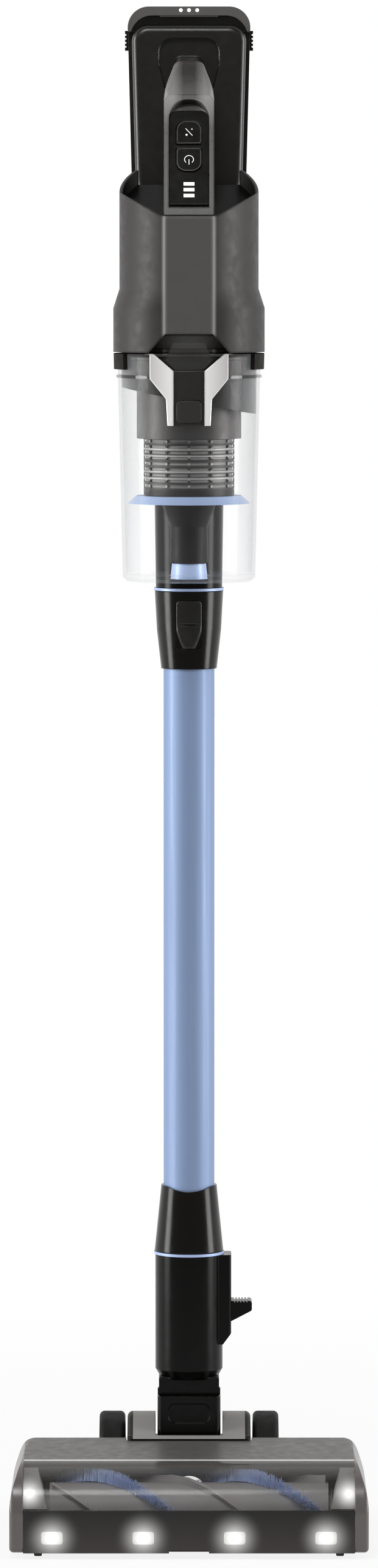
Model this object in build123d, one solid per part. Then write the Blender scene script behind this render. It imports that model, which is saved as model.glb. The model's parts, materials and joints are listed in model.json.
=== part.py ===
from build123d import *
import math
import os

# Cordless upright stick vacuum cleaner, in millimetres. +Z is up, the front faces -Y,
# and the origin is on the floor under the middle of the footprint.

# Clearances and walls shared by many pieces
RUN_GAP = 0.3          # between pieces that move past each other
SEAT_GAP = 0.05        # between a pin and its bore, and between seated shells
WALL = 2.5             # moulded plastic wall

# Stance
WAND_Y = 37.1          # the wand's axis
TILT_Z = 62.0          # height of the tilting hinge, which crosses the wand's axis
ROLL_Z = 84.0          # height of the side-to-side hinge

# Floor head
HEAD_WIDTH = 252.0
HEAD_FRONT = WAND_Y - 137.0
HEAD_DEPTH = 110.0
SOLE_Z = 4.0           # underside of the head
SOLE_THICK = 3.0
COVER_Z = 68.4         # top of the cover at its rear edge
REAR_FOOT = 12.0       # slant under the rear edge
CAP_WIDTH = 9.7        # each end cap, along X
CAP_ROUND = 3.0
CORNER = (17.0, 38.0)   # round of the head's upper corners, along X and Z
BRUSH_Z = 30.0
CHAMBER_R = 31.0       # brush chamber
WINDOW_THICK = 2.5
LAMP_BAR_TOP = 34.1
LAMP_BAR_THICK = 7.0
LAMP_SPACING = HEAD_WIDTH / 4 + 1.0
LAMP_COUNT = 4
LAMP_SIZE = (15.0, 9.0)
LAMP_DEPTH = 3.0
LAMP_Z = 14.8
LAMP_ROUND = 2.0
END_LAMP_WIDTH = (17.0, 8.0)  # at the lamp bar and at the top
SOLE_NOTCH = (14.0, 2.0)   # half width and height of the dip in the front edge
NECK_NOTCH = 89.2      # opening in the head for the neck yoke, along X
NOTCH_DEPTH = 8.5

# Brush roll and its drive
BRUSH_LENGTH = HEAD_WIDTH - 56.0
BRUSH_CORE_R = 18.5
BRISTLE_R = 28.5       # tips
BRISTLE_BASE = (BRUSH_CORE_R + 0.5, BRUSH_CORE_R + 2.1)  # inner and outer radius of the tufts' strip
BRISTLE_BASE_WIDTH = 6.0
BRISTLE_STARTS = 2
BRISTLE_ROWS = 2
BRISTLES_PER_ROW = 92
BRISTLE_SIDE = 0.9
BRISTLE_PITCH = 208.0  # helix length for one turn
BRISTLE_PHASE = -71.0  # turn of the roll
FIN_HEIGHT = 5.5
FIN_WIDTH = 3.0
HELIX_SPANS = 16       # straight spans in each helical strip
BRUSH_PIN_R = 4.0
DRIVE_PULLEY_R = 6.0
BRUSH_PULLEY_R = 12.0
PULLEY_WIDTH = 7.0
PULLEY_GAP = 2.0       # from the brush's end
BELT_THICK = 1.6
BELT_WIDTH = 6.0
DRIVE_R = 14.5         # brush motor can
DRIVE_LENGTH = 46.0
DRIVE_SHAFT_R = 2.0

# Wheels
WHEEL_R = 39.8
WHEEL_WIDTH = 18.5
WHEEL_BACK = 23.0      # behind the wand's axis
WHEEL_GAP = 1.8
AXLE_R = 5.0
AXLE_FLANGE = 1.5
ROLLER_R = 8.0
ROLLER_WIDTH = 5.6
ROLLER_X = HEAD_WIDTH / 2 - 20.0
ROLLER_BACK = 13.0     # behind the head's front
ROLLER_PIN_R = 1.5
ROLLER_PIN_LENGTH = 12.0

# Neck
NECK_R = 24.1
NECK_TOP = 197.5
NECK_BOTTOM = 115.0
EAR_R = 21.3
EAR_ROUND = 4.0
NECK_ROOM = 4.5        # taken off inside the ears for the neck that leans back and aside
TRAY_LAP = 2.5         # tray of the yoke over the cover
TRAY_RISE = 2.6
TILT_PIN_R = 5.0
KNUCKLE_WIDTH = 45.0
KNUCKLE_DEPTH = 50.0
KNUCKLE_TOP = 97.5
KNUCKLE_BOTTOM = 46.0
KNUCKLE_ROUND = 5.0
KNUCKLE_PANEL = (14.7, 5.2, 19.0)   # half width, top and bottom below the block's top
TONGUE_HALF = (21.5, 16.5)
PANEL_DEEP = 1.0
PIN_COVER = 2.5        # wall left in front of each roll pin
SIDE_ROOM = 10.0       # below the roll axis, for the tongue's sides
ROLL_PIN_R = 4.0
HOSE_R = 11.5
HOSE_BORE = 9.0
HOSE_RIB = 1.2
HOSE_RIBS = 14
PEDAL_REACH = 45.0
PEDAL_WIDTH = 18.0
PEDAL_TRAVEL = 5.0
PEDAL_BOX = (30.2, 141.0)   # outer face along X and lowest Z
PEDAL_Z = (149.5, 164.2)
PEDAL_TIP = 7.0        # thickness at its outer end
PEDAL_RIBS = 5
POD_SLANT = (6.0, 8.0)  # under the pedal's housing, along X and Z

# Wand
WAND_R = 18.15
WAND_WALL = 1.5
WAND_BOTTOM = 203.5
WAND_TOP = 669.0
COLLAR_LOW = (199.8, 247.0)
COLLAR_LOW_R = (24.6, 19.8)
COLLAR_SCOOP = (40.0, 3.3)   # radius and depth of the dip in its upper rim
COLLAR_HIGH = (617.0, 672.2)
COLLAR_HIGH_R = (19.8, 22.9, 24.4)
RING_THICK = 1.9
RING_PROUD = 0.4
SPIGOT_R = 16.3
SPIGOT_LENGTH = 36.0
SPIGOT_SEAT = 6.0         # how far the hand unit's sleeve sits in its tube
CATCH_SIZE = (18.0, 34.0)
CATCH_Z = 649.0
CATCH_ROUND = 3.0
CATCH_TRAVEL = 1.5

# Dust cup
CUP_AHEAD = 79.0       # cup's axis in front of the wand's
CUP_R = (46.6, 50.3)   # bottom and top
CUP_WALL = 2.2
CUP_BOTTOM = 688.2
CUP_TOP = 842.5
LID_THICK = 4.6
LID_SKIN = 1.2         # under the plug's seat
LID_EDGE = 2.5
LID_OPEN_GAP = 0.4
HINGE_PIN_R = 1.5
HINGE_R = 3.2
HINGE_HALF = 8.0       # the lid's knuckle, along X
HINGE_LUG = 6.0        # each of the cup's lugs beside it
HINGE_BACK = 2.2       # hinge axis behind the cup's wall
SHROUD_R = 36.6
SHROUD_BOTTOM = 783.0
RAMP_LOW = (800.0, 819.0)  # lower edge of the inlet ramp, right and left
MESH_R = 31.7
MESH_WALL = 0.8
MESH_BOTTOM = 747.5
MESH_SLOT_ROWS = 9
SKIRT_R = (36.8, 42.9)
SKIRT_Z = (737.5, 743.0)
CONE_R = (20.2, 13.3)
CONE_WAIST = 721.2
CONE_BOTTOM = 695.7
CONE_WALL = 1.6
PLUG_R = 12.9
LATCH_HALF = (27.4, 16.0)  # the catch frame's half width at its wings and its legs
LATCH_Z = (793.0, 811.5, 825.5, 842.5)  # foot, top of the legs, foot of the wings, top
LATCH_VEE = (25.4, 10.8, 831.0)  # notch in its top: half widths and lower edge
LATCH_PROUD = 3.2
LATCH_BACK = 1.0       # plate left behind the dark insert
LATCH_SLOT = 10.8      # half width of the slot for that insert
LATCH_ROUND = 3.0
INSERT_PROUD = 2.4
CUP_BUTTON_HALF = 8.6
CUP_BUTTON_Z = (795.4, 810.5)
CUP_BUTTON_TRAVEL = 1.4
LATCH_TAB = ((9.4, 832.0), (16.4, 838.5), (11.0, 850.5))  # half widths and heights of the smoked tab
INLET_Z = 790.0
INLET_R = 10.0

# Hand unit
TUBE_R = (23.6, 26.0)
TUBE_BOTTOM = 674.5
HOUSING_Z = 843.5      # lower edge
HOUSING_STEP = (874.0, 887.5)
HOUSING_HALF = 48.6    # above the step
HOUSING_WAIST = 38.0   # half width at the split line
STEP_OUT = 4.3         # how far the lower part stands out
PANEL_HALF = 17.0      # flat front panel
HOUSING_FRONT = 50.5   # ahead of the cup's axis
HOUSING_BACK = 42.0    # split line, behind the cup's axis
RIM_FRONT = 937.5
RIM_BACK = 970.0
SHOULDER_RISE = 17.4   # of the rim, from the flat panel to the sides
DECK_DROP = 10.0       # black deck below the rim
REAR_BACK = 27.0       # rear cover, behind the wand's axis
CUTOUT = (28.6, 16.8, 856.5)  # notch over the cup's tab: half widths and top
CUTOUT_DEEP = 15.0
CLIP_SIZE = (2.5, 26.0, 11.0)  # thickness, half length and height
VENT_ROWS = 6
VENT_SIZE = (15.0, 2.4, 6.0)  # half width, height and spacing
VENT_Z = 880.0

# Motor
MOTOR_R = 25.0
MOTOR_Z = (872.0, 918.0)
MOTOR_SHAFT_R = 2.5
FAN_R = 24.0
FAN_Z = (858.5, 867.0)
FAN_VANES = 9
FILTER_R = 30.0
FILTER_TOP = 856.0
BOARD_SIZE = (50.0, 1.6, 74.0)

# Handle and battery
DOCK_HALF = (37.6, 40.8)   # bottom and top
DOCK_Z = (952.0, 1073.0)
DOCK_FRONT = 4.0           # behind the wand's axis
DOCK_THICK = 20.0
DOCK_ROUND = 12.0
DOCK_EDGE = 5.0
DOCK_HOLLOW = 10.0         # depth of the bay behind its face
RECESS_HALF = (17.1, 21.4)  # recess round the grip: half width at its bottom and top
RECESS_Z = (DOCK_Z[1] - 45.0, DOCK_Z[1] - 9.6)
RECESS_DEEP = 4.0
RECESS_ROUND = 10.0
GRIP_HALF = 17.6
GRIP_TAPER = ((15.6, 8.0), (11.6, 19.0), (8.6, 31.0))  # half width at heights over the hood's tip
GRIP_ROUND = 5.0
GRIP_CORE = 5.0            # half width of the hollow inside
HOOD = 7.0                 # height of the rails over the panel's plane, at their upper ends
HOOD_REACH = 4.0           # how far the hood goes on past the panel's plane
ELBOW_ROUND = 20.0
PANEL_FOOT = -26.0         # lower edge of the panel's plane, from the cup's axis towards the rear
PANEL_HEAD = (15.2, 1016.2)   # upper edge of that plane
GRIP_TOP = DOCK_Z[1] - 21.0   # where the grip's upper and lower lines meet the dock
GRIP_UNDER = DOCK_Z[1] - 49.0
GRIP_ELBOW = (51.0, 1000.0)
GRIP_HEEL = 35.0           # rear of the grip's foot
PANEL_THICK = 2.5
PANEL_HALF_WIDTH = 13.7
PANEL_SPAN = (10.0, 83.5)  # along the slope, from its foot
PANEL_ROUND = 6.0
POCKET_HALF = 14.0
POCKET_FOOT = 7.7
POCKET_ARCH = 13.0         # rounding of the pocket's upper end
BUTTON_HALF = 8.8
MODE_SPAN = (57.1, 75.2)
POWER_SPAN = (35.7, 53.9)
BUTTON_ROUND = 7.0
BUTTON_PROUD = 0.8
BUTTON_TRAVEL = 1.2
BAR_PLACES = (17.0, 21.6, 26.1)
BAR_SIZE = (7.6, 2.6, 0.7)
BATTERY_HALF = (40.6, 43.9)   # bottom and top
BATTERY_Z = (DOCK_Z[0] + 5.0, DOCK_Z[1] + 13.0)
BATTERY_DEPTH = 36.0
BATTERY_ROUND = (15.0, 6.0)   # upper corners, and the edges at the back
BATTERY_LIP = 14.5         # cap over the dock's top
CAP_LEG = DOCK_Z[1] - 5.0  # lower end of that cap's sides
BAND_Z = DOCK_Z[1] + 6.6   # lower edge of its front
BROW = (20.6, 1.0)         # half width and depth of the step under it
CELL_R = 9.2
CELL_LENGTH = 65.0
CELL_COUNT = 4
LED_R = 1.35
LED_SPACING = 5.8
LED_Z = DOCK_Z[1] + 10.4
SIDE_LATCH = (45.6, 22.0, 14.0)   # outer X, depth and height
SIDE_LATCH_Z = DOCK_Z[1] - 10.8
LATCH_TRAVEL = 2.0
LATCH_RIBS = 5
JACK_R = 2.8
JACK_DEPTH = 9.0
JACK_Z = DOCK_Z[0] + 24.0

# Places worked out from the sizes above
HEAD_HALF = HEAD_WIDTH / 2
CAP_INNER = HEAD_HALF - CAP_WIDTH
SPAN = CAP_INNER - SEAT_GAP
HEAD_BACK = HEAD_FRONT + HEAD_DEPTH
WINDOW_R = CHAMBER_R + WINDOW_THICK + 0.5
BRUSH_Y = HEAD_FRONT + WINDOW_R
CROWN_TURN = math.atan2(COVER_Z - BRUSH_Z, HEAD_BACK - BRUSH_Y) + math.acos(
    WINDOW_R / math.hypot(COVER_Z - BRUSH_Z, HEAD_BACK - BRUSH_Y)
)
CROWN_Y = BRUSH_Y + WINDOW_R * math.cos(CROWN_TURN)   # where the window meets the flat cover
CROWN_Z = BRUSH_Z + WINDOW_R * math.sin(CROWN_TURN)
NOTCH_FRONT = HEAD_BACK - NOTCH_DEPTH
CUP_Y = WAND_Y - CUP_AHEAD
WHEEL_Y = WAND_Y + WHEEL_BACK
DOCK_Y = WAND_Y + DOCK_FRONT


def box(x, y, z):
    """A block between (low, high) pairs."""
    size = (x[1] - x[0], y[1] - y[0], z[1] - z[0])
    return Pos(sum(x) / 2, sum(y) / 2, sum(z) / 2) * Box(*size)


def rod_x(radius, x, y, z):
    """A round bar along X."""
    return Pos(sum(x) / 2, y, z) * Rot(0, 90, 0) * Cylinder(radius, x[1] - x[0])


def rod_y(radius, x, y, z):
    """A round bar along Y."""
    return Pos(x, sum(y) / 2, z) * Rot(90, 0, 0) * Cylinder(radius, y[1] - y[0])


def rod_z(radius, x, y, z):
    """A round bar along Z."""
    return Pos(x, y, sum(z) / 2) * Cylinder(radius, z[1] - z[0])


def side_profile(points, x):
    """An outline of (y, z) points, extruded between two X values."""
    face = make_face(Plane.YZ.offset(x[0]) * Polyline(*points, close=True))
    return extrude(face, amount=x[1] - x[0], dir=(1, 0, 0))


def across_y(points, y):
    """An outline of (x, z) points, extruded between two Y values."""
    face = make_face(Plane.XZ.offset(-y[1]) * Polyline(*points, close=True))
    return extrude(face, amount=y[1] - y[0], dir=(0, -1, 0))


def turned(points, y=WAND_Y, x=0.0):
    """An outline of (radius, z) points, turned about a vertical axis."""
    face = make_face(Plane.XZ * Polyline(*points, close=True))
    return Pos(x, y, 0) * revolve(face, axis=Axis.Z)


def mirrored(shape):
    """The same piece on the other side of the vacuum."""
    return mirror(shape, about=Plane.YZ)


def both(shape):
    """A piece and its mirror image, as separate solids."""
    return Compound(children=[*shape.solids(), *mirrored(shape).solids()])


# Floor head


def cover_z(y):
    """Top of the sloping cover."""
    return CROWN_Z + (COVER_Z - CROWN_Z) * (y - CROWN_Y) / (HEAD_BACK - CROWN_Y)


def head_face(x):
    """The head's side outline, as a face at one X value."""
    shoulder = (HEAD_FRONT, BRUSH_Z)
    crown = (CROWN_Y, CROWN_Z)
    half_turn = WINDOW_R * math.sqrt(0.5)
    middle = (BRUSH_Y - half_turn, BRUSH_Z + half_turn)
    straight = Polyline(
        crown,
        (HEAD_BACK, COVER_Z),
        (HEAD_BACK, SOLE_Z + REAR_FOOT),
        (HEAD_BACK - REAR_FOOT, SOLE_Z),
        (HEAD_FRONT, SOLE_Z),
        shoulder,
    )
    face = make_face(Plane.YZ.offset(x) * (straight + ThreePointArc(shoulder, middle, crown)))
    corners = [v for v in face.vertices() if v.Z < BRUSH_Z - 1 or v.Y > BRUSH_Y + 1]
    return fillet(corners, CAP_ROUND + 1)


def head_corners(grow=0.0):
    """The head's front view, with both upper corners rounded, as a long block."""
    wide, tall = CORNER
    half = HEAD_HALF + grow
    top = COVER_Z + grow
    slack = 1 - math.sqrt(0.5)
    side, middle, end = (half, top - tall), (half - slack * wide, top - slack * tall), (half - wide, top)
    outline = Polyline((-half, top - tall), (-half, 0), (half, 0), side)
    outline += Spline(side, middle, end, tangents=((0, 1), (-1, 0)))
    outline += Line(end, (wide - half, top))
    outline += Spline(
        (-side[0], side[1]), (-middle[0], middle[1]), (-end[0], end[1]), tangents=((0, 1), (1, 0))
    )
    return extrude(make_face(Plane.XZ * outline), amount=2 * HEAD_DEPTH, both=True)


def roller_well():
    """Space round the right-hand roller."""
    roller_y = HEAD_FRONT + ROLLER_BACK
    well = ROLLER_R + 2 * RUN_GAP
    slot = ROLLER_WIDTH / 2 + RUN_GAP
    return box(
        (ROLLER_X - slot, ROLLER_X + slot), (roller_y - well, roller_y + well), (0, ROLLER_R + well)
    )


def neck_notch(grow=0.0):
    """The space at the rear of the head that takes the neck yoke."""
    half = NECK_NOTCH / 2 + grow
    return box((-half, half), (NOTCH_FRONT - grow, HEAD_BACK + 1), (0, COVER_Z + 1))


def make_head_chassis():
    """Sole, brush chamber and motor bay in one moulding, open at the top."""
    under = WALL + SEAT_GAP
    front = BRUSH_Y + CHAMBER_R / 4
    whole = side_profile(
        [
            (front, SOLE_Z),
            (HEAD_BACK, SOLE_Z),
            (HEAD_BACK, COVER_Z - under),
            (front, cover_z(front) - under),
        ],
        (-SPAN, SPAN),
    )
    bay = box(
        (-SPAN + WALL, SPAN - WALL),
        (front, HEAD_BACK - WALL),
        (SOLE_Z + SOLE_THICK, COVER_Z),
    )
    bay -= rod_x(CHAMBER_R + WALL, (-SPAN, SPAN), BRUSH_Y, BRUSH_Z)
    bay -= neck_notch(WALL)
    whole = whole - bay - neck_notch()
    # Suction duct from the chamber to the neck
    duct = (BRUSH_Y + CHAMBER_R - WALL, NOTCH_FRONT - WALL / 2)
    bore = (BRUSH_Y + CHAMBER_R / 2, NOTCH_FRONT + 1)
    duct_z = BRUSH_Z + CHAMBER_R / 4
    whole += rod_y(HOSE_R + WALL, 0, duct, duct_z)
    # Front lip, joined to the rest by a solid shoe under each end of the brush
    lip_y = HEAD_FRONT + LAMP_BAR_THICK + SEAT_GAP
    shoe_x = BRUSH_LENGTH / 2 + PULLEY_GAP
    shoe_top = SOLE_Z + 3 * SOLE_THICK
    roller_y = HEAD_FRONT + ROLLER_BACK
    pin = ROLLER_PIN_LENGTH / 2
    whole += box((-SPAN, SPAN), (lip_y, lip_y + LAMP_BAR_THICK), (SOLE_Z, SOLE_Z + SOLE_THICK))
    whole -= rod_x(CHAMBER_R, (-SPAN, SPAN), BRUSH_Y, BRUSH_Z)
    whole -= rod_y(HOSE_R, 0, bore, duct_z)
    whole += both(box((shoe_x, SPAN), (lip_y, BRUSH_Y + CHAMBER_R * 0.8), (SOLE_Z, shoe_top)))
    whole -= both(roller_well())
    whole -= both(
        rod_x(ROLLER_PIN_R + SEAT_GAP, (ROLLER_X - pin, ROLLER_X + pin), roller_y, ROLLER_R)
    )
    # Slot that the belt runs through
    belt = BRUSH_LENGTH / 2 + PULLEY_GAP / 2
    belt_slot = box(
        (belt, belt + PULLEY_WIDTH + 2 * PULLEY_GAP),
        (BRUSH_Y, HEAD_BACK - WALL),
        (SOLE_Z + SOLE_THICK + SEAT_GAP, BRUSH_Z + BRUSH_PULLEY_R + 3 * BELT_THICK),
    )
    return (whole - belt_slot) & head_corners(-under)


def make_head_cover():
    """Top plate from the window to the rear edge."""
    crown = CROWN_Y + SEAT_GAP
    plate = side_profile(
        [
            (crown, cover_z(crown) - WALL),
            (HEAD_BACK, COVER_Z - WALL),
            (HEAD_BACK, COVER_Z),
            (crown, cover_z(crown)),
        ],
        (-SPAN, SPAN),
    )
    return (plate - neck_notch()) & head_corners()


def make_brush_window():
    """Curved see-through shell over the brush."""
    shell = rod_x(WINDOW_R, (-SPAN, SPAN), BRUSH_Y, BRUSH_Z)
    shell -= rod_x(WINDOW_R - WINDOW_THICK, (-SPAN, SPAN), BRUSH_Y, BRUSH_Z)
    quarter = box(
        (-SPAN, SPAN),
        (HEAD_FRONT - 1, CROWN_Y),
        (LAMP_BAR_TOP + SEAT_GAP, COVER_Z),
    )
    return shell & quarter & head_corners()


def lamp_places():
    """X of each front lamp."""
    return [(i - (LAMP_COUNT - 1) / 2) * LAMP_SPACING for i in range(LAMP_COUNT)]


def lamp_block(x, grow=0.0):
    """One front lamp's lens, rounded at its corners."""
    width, height = (size + 2 * grow for size in LAMP_SIZE)
    block = box(
        (x - width / 2, x + width / 2),
        (HEAD_FRONT, HEAD_FRONT + LAMP_DEPTH + grow),
        (LAMP_Z - height / 2, LAMP_Z + height / 2),
    )
    return fillet(block.edges().filter_by(Axis.Y), LAMP_ROUND)


def make_lamp_bar():
    """Front panel that carries the lamps."""
    notch, raised = SOLE_NOTCH
    bar = box((-SPAN, SPAN), (HEAD_FRONT, HEAD_FRONT + LAMP_BAR_THICK), (SOLE_Z, LAMP_BAR_TOP))
    bar -= rod_x(CHAMBER_R, (-SPAN, SPAN), BRUSH_Y, BRUSH_Z)
    bar -= box((-notch, notch), (HEAD_FRONT - 1, HEAD_FRONT + LAMP_BAR_THICK + 1), (0, SOLE_Z + raised))
    bar -= both(roller_well())
    for x in lamp_places():
        bar -= lamp_block(x, SEAT_GAP)
    return bar


def make_lamp_lenses():
    """The front lenses, and a lit corner piece at each end of the window."""
    wide, narrow = END_LAMP_WIDTH
    low, high = LAMP_BAR_TOP + 2 * RUN_GAP, COVER_Z
    corner = rod_x(WINDOW_R - WINDOW_THICK - SEAT_GAP, (SPAN - wide, SPAN), BRUSH_Y, BRUSH_Z)
    corner -= rod_x(CHAMBER_R * 0.6, (SPAN - wide, SPAN), BRUSH_Y, BRUSH_Z)
    corner &= across_y(
        [(SPAN - wide, low), (SPAN, low), (SPAN, high), (SPAN - narrow, high)],
        (HEAD_FRONT, BRUSH_Y - CHAMBER_R / 4),
    )
    lenses = [solid for x in lamp_places() for solid in lamp_block(x).solids()]
    return Compound(children=lenses + list(both(corner).solids()))


def make_end_cap():
    """Right-hand cheek, with the pin that the brush turns on."""
    cap = extrude(head_face(CAP_INNER), amount=CAP_WIDTH, dir=(1, 0, 0))
    cap = fillet(cap.faces().sort_by(Axis.X)[-1].edges(), CAP_ROUND) & head_corners()
    hub_end = BRUSH_LENGTH / 2 + PULLEY_GAP + PULLEY_WIDTH
    boss = (hub_end + RUN_GAP, CAP_INNER)
    cap += rod_x(2 * BRUSH_PIN_R, boss, BRUSH_Y, BRUSH_Z)
    cap += rod_x(BRUSH_PIN_R, (hub_end - PULLEY_WIDTH, CAP_INNER), BRUSH_Y, BRUSH_Z)
    return cap


def helix_angle(x, start):
    """Angle in degrees about the brush's axis of a strip at one X value. Zero points up."""
    return start + 360.0 * x / BRISTLE_PITCH


def helix_strip(start, inner, outer, width):
    """A strip wound round the brush, through straight-sided sections."""
    half = BRUSH_LENGTH / 2 - PULLEY_GAP
    sections = []
    for i in range(HELIX_SPANS + 1):
        x = -half + 2 * half * i / HELIX_SPANS
        frame = Plane.YZ.offset(x) * Pos(BRUSH_Y, BRUSH_Z) * Rot(0, 0, helix_angle(x, start))
        sections.append(frame * Pos(0, (inner + outer) / 2) * Rectangle(width, outer - inner))
    return loft(sections, ruled=True)


def strip_starts(offset):
    """Start angles of the strips that share the brush."""
    return [offset + 360.0 * i / BRISTLE_STARTS for i in range(BRISTLE_STARTS)]


def make_brush_core():
    """Roller with two soft fins, hubs and the toothless pulley."""
    half = BRUSH_LENGTH / 2
    hub_end = half + PULLEY_GAP + PULLEY_WIDTH
    core = rod_x(BRUSH_CORE_R, (-half, half), BRUSH_Y, BRUSH_Z)
    for start in strip_starts(BRISTLE_PHASE + 180.0 / BRISTLE_STARTS):
        core += helix_strip(start, BRUSH_CORE_R - 3, BRUSH_CORE_R + FIN_HEIGHT, FIN_WIDTH)
    core += rod_x(BRUSH_PULLEY_R - 2, (half, half + PULLEY_GAP), BRUSH_Y, BRUSH_Z)
    core += rod_x(BRUSH_PULLEY_R, (half + PULLEY_GAP, hub_end), BRUSH_Y, BRUSH_Z)
    core += rod_x(BRUSH_PULLEY_R - 2, (-hub_end, -half), BRUSH_Y, BRUSH_Z)
    hollow = half - 2 * PULLEY_GAP
    core -= rod_x(BRUSH_CORE_R - FIN_WIDTH, (-hollow, hollow), BRUSH_Y, BRUSH_Z)
    socket = rod_x(BRUSH_PIN_R + SEAT_GAP, (hollow - 1, hub_end + 1), BRUSH_Y, BRUSH_Z)
    return core - socket - mirrored(socket)


def make_brush_bristles():
    """Two helical tufts: straight strands standing on a strip."""
    half = BRUSH_LENGTH / 2 - 2 * PULLEY_GAP
    root = sum(BRISTLE_BASE) / 2
    row_gap = BRISTLE_BASE_WIDTH / (BRISTLE_ROWS + 1)
    tufts = []
    for start in strip_starts(BRISTLE_PHASE):
        strands = []
        for row in range(BRISTLE_ROWS):
            side = (row - (BRISTLE_ROWS - 1) / 2) * row_gap
            for i in range(BRISTLES_PER_ROW):
                x = -half + 2 * half * (i + 0.25 + 0.5 * row) / BRISTLES_PER_ROW
                turn = Pos(x, BRUSH_Y, BRUSH_Z) * Rot(helix_angle(x, start), 0, 0)
                strand = Box(BRISTLE_SIDE, BRISTLE_SIDE, BRISTLE_R - root)
                strands.append(turn * Pos(0, side, (BRISTLE_R + root) / 2) * strand)
        strip = helix_strip(start, *BRISTLE_BASE, BRISTLE_BASE_WIDTH)
        tufts.extend(strip.fuse(*strands).solids())
    return Compound(children=tufts)


def drive_centre():
    """Y and Z of the brush motor's axis."""
    return HEAD_BACK - WALL - DRIVE_R - RUN_GAP, SOLE_Z + SOLE_THICK + DRIVE_R + RUN_GAP


def make_brush_motor():
    """Small motor in the rear bay, with its shaft towards the belt."""
    y, z = drive_centre()
    belt_x = BRUSH_LENGTH / 2 + PULLEY_GAP
    body = rod_x(DRIVE_R, (belt_x - 2 * PULLEY_GAP - DRIVE_LENGTH, belt_x - 2 * PULLEY_GAP), y, z)
    body += rod_x(DRIVE_R / 2, (belt_x - 2 * PULLEY_GAP, belt_x - PULLEY_GAP), y, z)
    return body + rod_x(DRIVE_SHAFT_R, (belt_x - PULLEY_GAP, belt_x + PULLEY_WIDTH), y, z)


def make_motor_pulley():
    """Small pulley on the motor's shaft."""
    y, z = drive_centre()
    belt_x = BRUSH_LENGTH / 2 + PULLEY_GAP
    pulley = rod_x(DRIVE_PULLEY_R, (belt_x, belt_x + PULLEY_WIDTH), y, z)
    return pulley - rod_x(DRIVE_SHAFT_R + SEAT_GAP, (belt_x - 1, belt_x + PULLEY_WIDTH + 1), y, z)


def belt_face(grow):
    """Outline round both pulleys."""
    y, z = drive_centre()
    small = Pos(y, z) * Circle(DRIVE_PULLEY_R + grow)
    large = Pos(BRUSH_Y, BRUSH_Z) * Circle(BRUSH_PULLEY_R + grow)
    return make_hull([*small.edges(), *large.edges()])


def make_drive_belt():
    """Flat belt from the motor to the brush."""
    belt_x = BRUSH_LENGTH / 2 + PULLEY_GAP + (PULLEY_WIDTH - BELT_WIDTH) / 2
    face = belt_face(RUN_GAP + BELT_THICK) - belt_face(RUN_GAP)
    return extrude(Plane.YZ.offset(belt_x) * face, amount=BELT_WIDTH, dir=(1, 0, 0))


def make_roller():
    """Small right-hand roller under the front of the head."""
    roller_y = HEAD_FRONT + ROLLER_BACK
    half = ROLLER_WIDTH / 2
    roller = rod_x(ROLLER_R, (ROLLER_X - half, ROLLER_X + half), roller_y, ROLLER_R)
    roller = fillet(roller.edges().filter_by(GeomType.CIRCLE), 1.0)
    pin = ROLLER_PIN_LENGTH / 2 - RUN_GAP
    return roller + rod_x(ROLLER_PIN_R, (ROLLER_X - pin, ROLLER_X + pin), roller_y, ROLLER_R)


# Neck: yoke, wheels, knuckle, hose and tube

YOKE_INNER = KNUCKLE_WIDTH / 2 + 5 * RUN_GAP
YOKE_OUTER = NECK_NOTCH / 2 - 2 * RUN_GAP
YOKE_FRONT = NOTCH_FRONT + RUN_GAP
YOKE_BASE = SOLE_Z + 2.0
LIP_ROOM = math.hypot(KNUCKLE_DEPTH / 2, TILT_Z - KNUCKLE_BOTTOM) + 5 * RUN_GAP
AXLE_TIP = YOKE_OUTER + WHEEL_GAP + WHEEL_WIDTH + RUN_GAP


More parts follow.
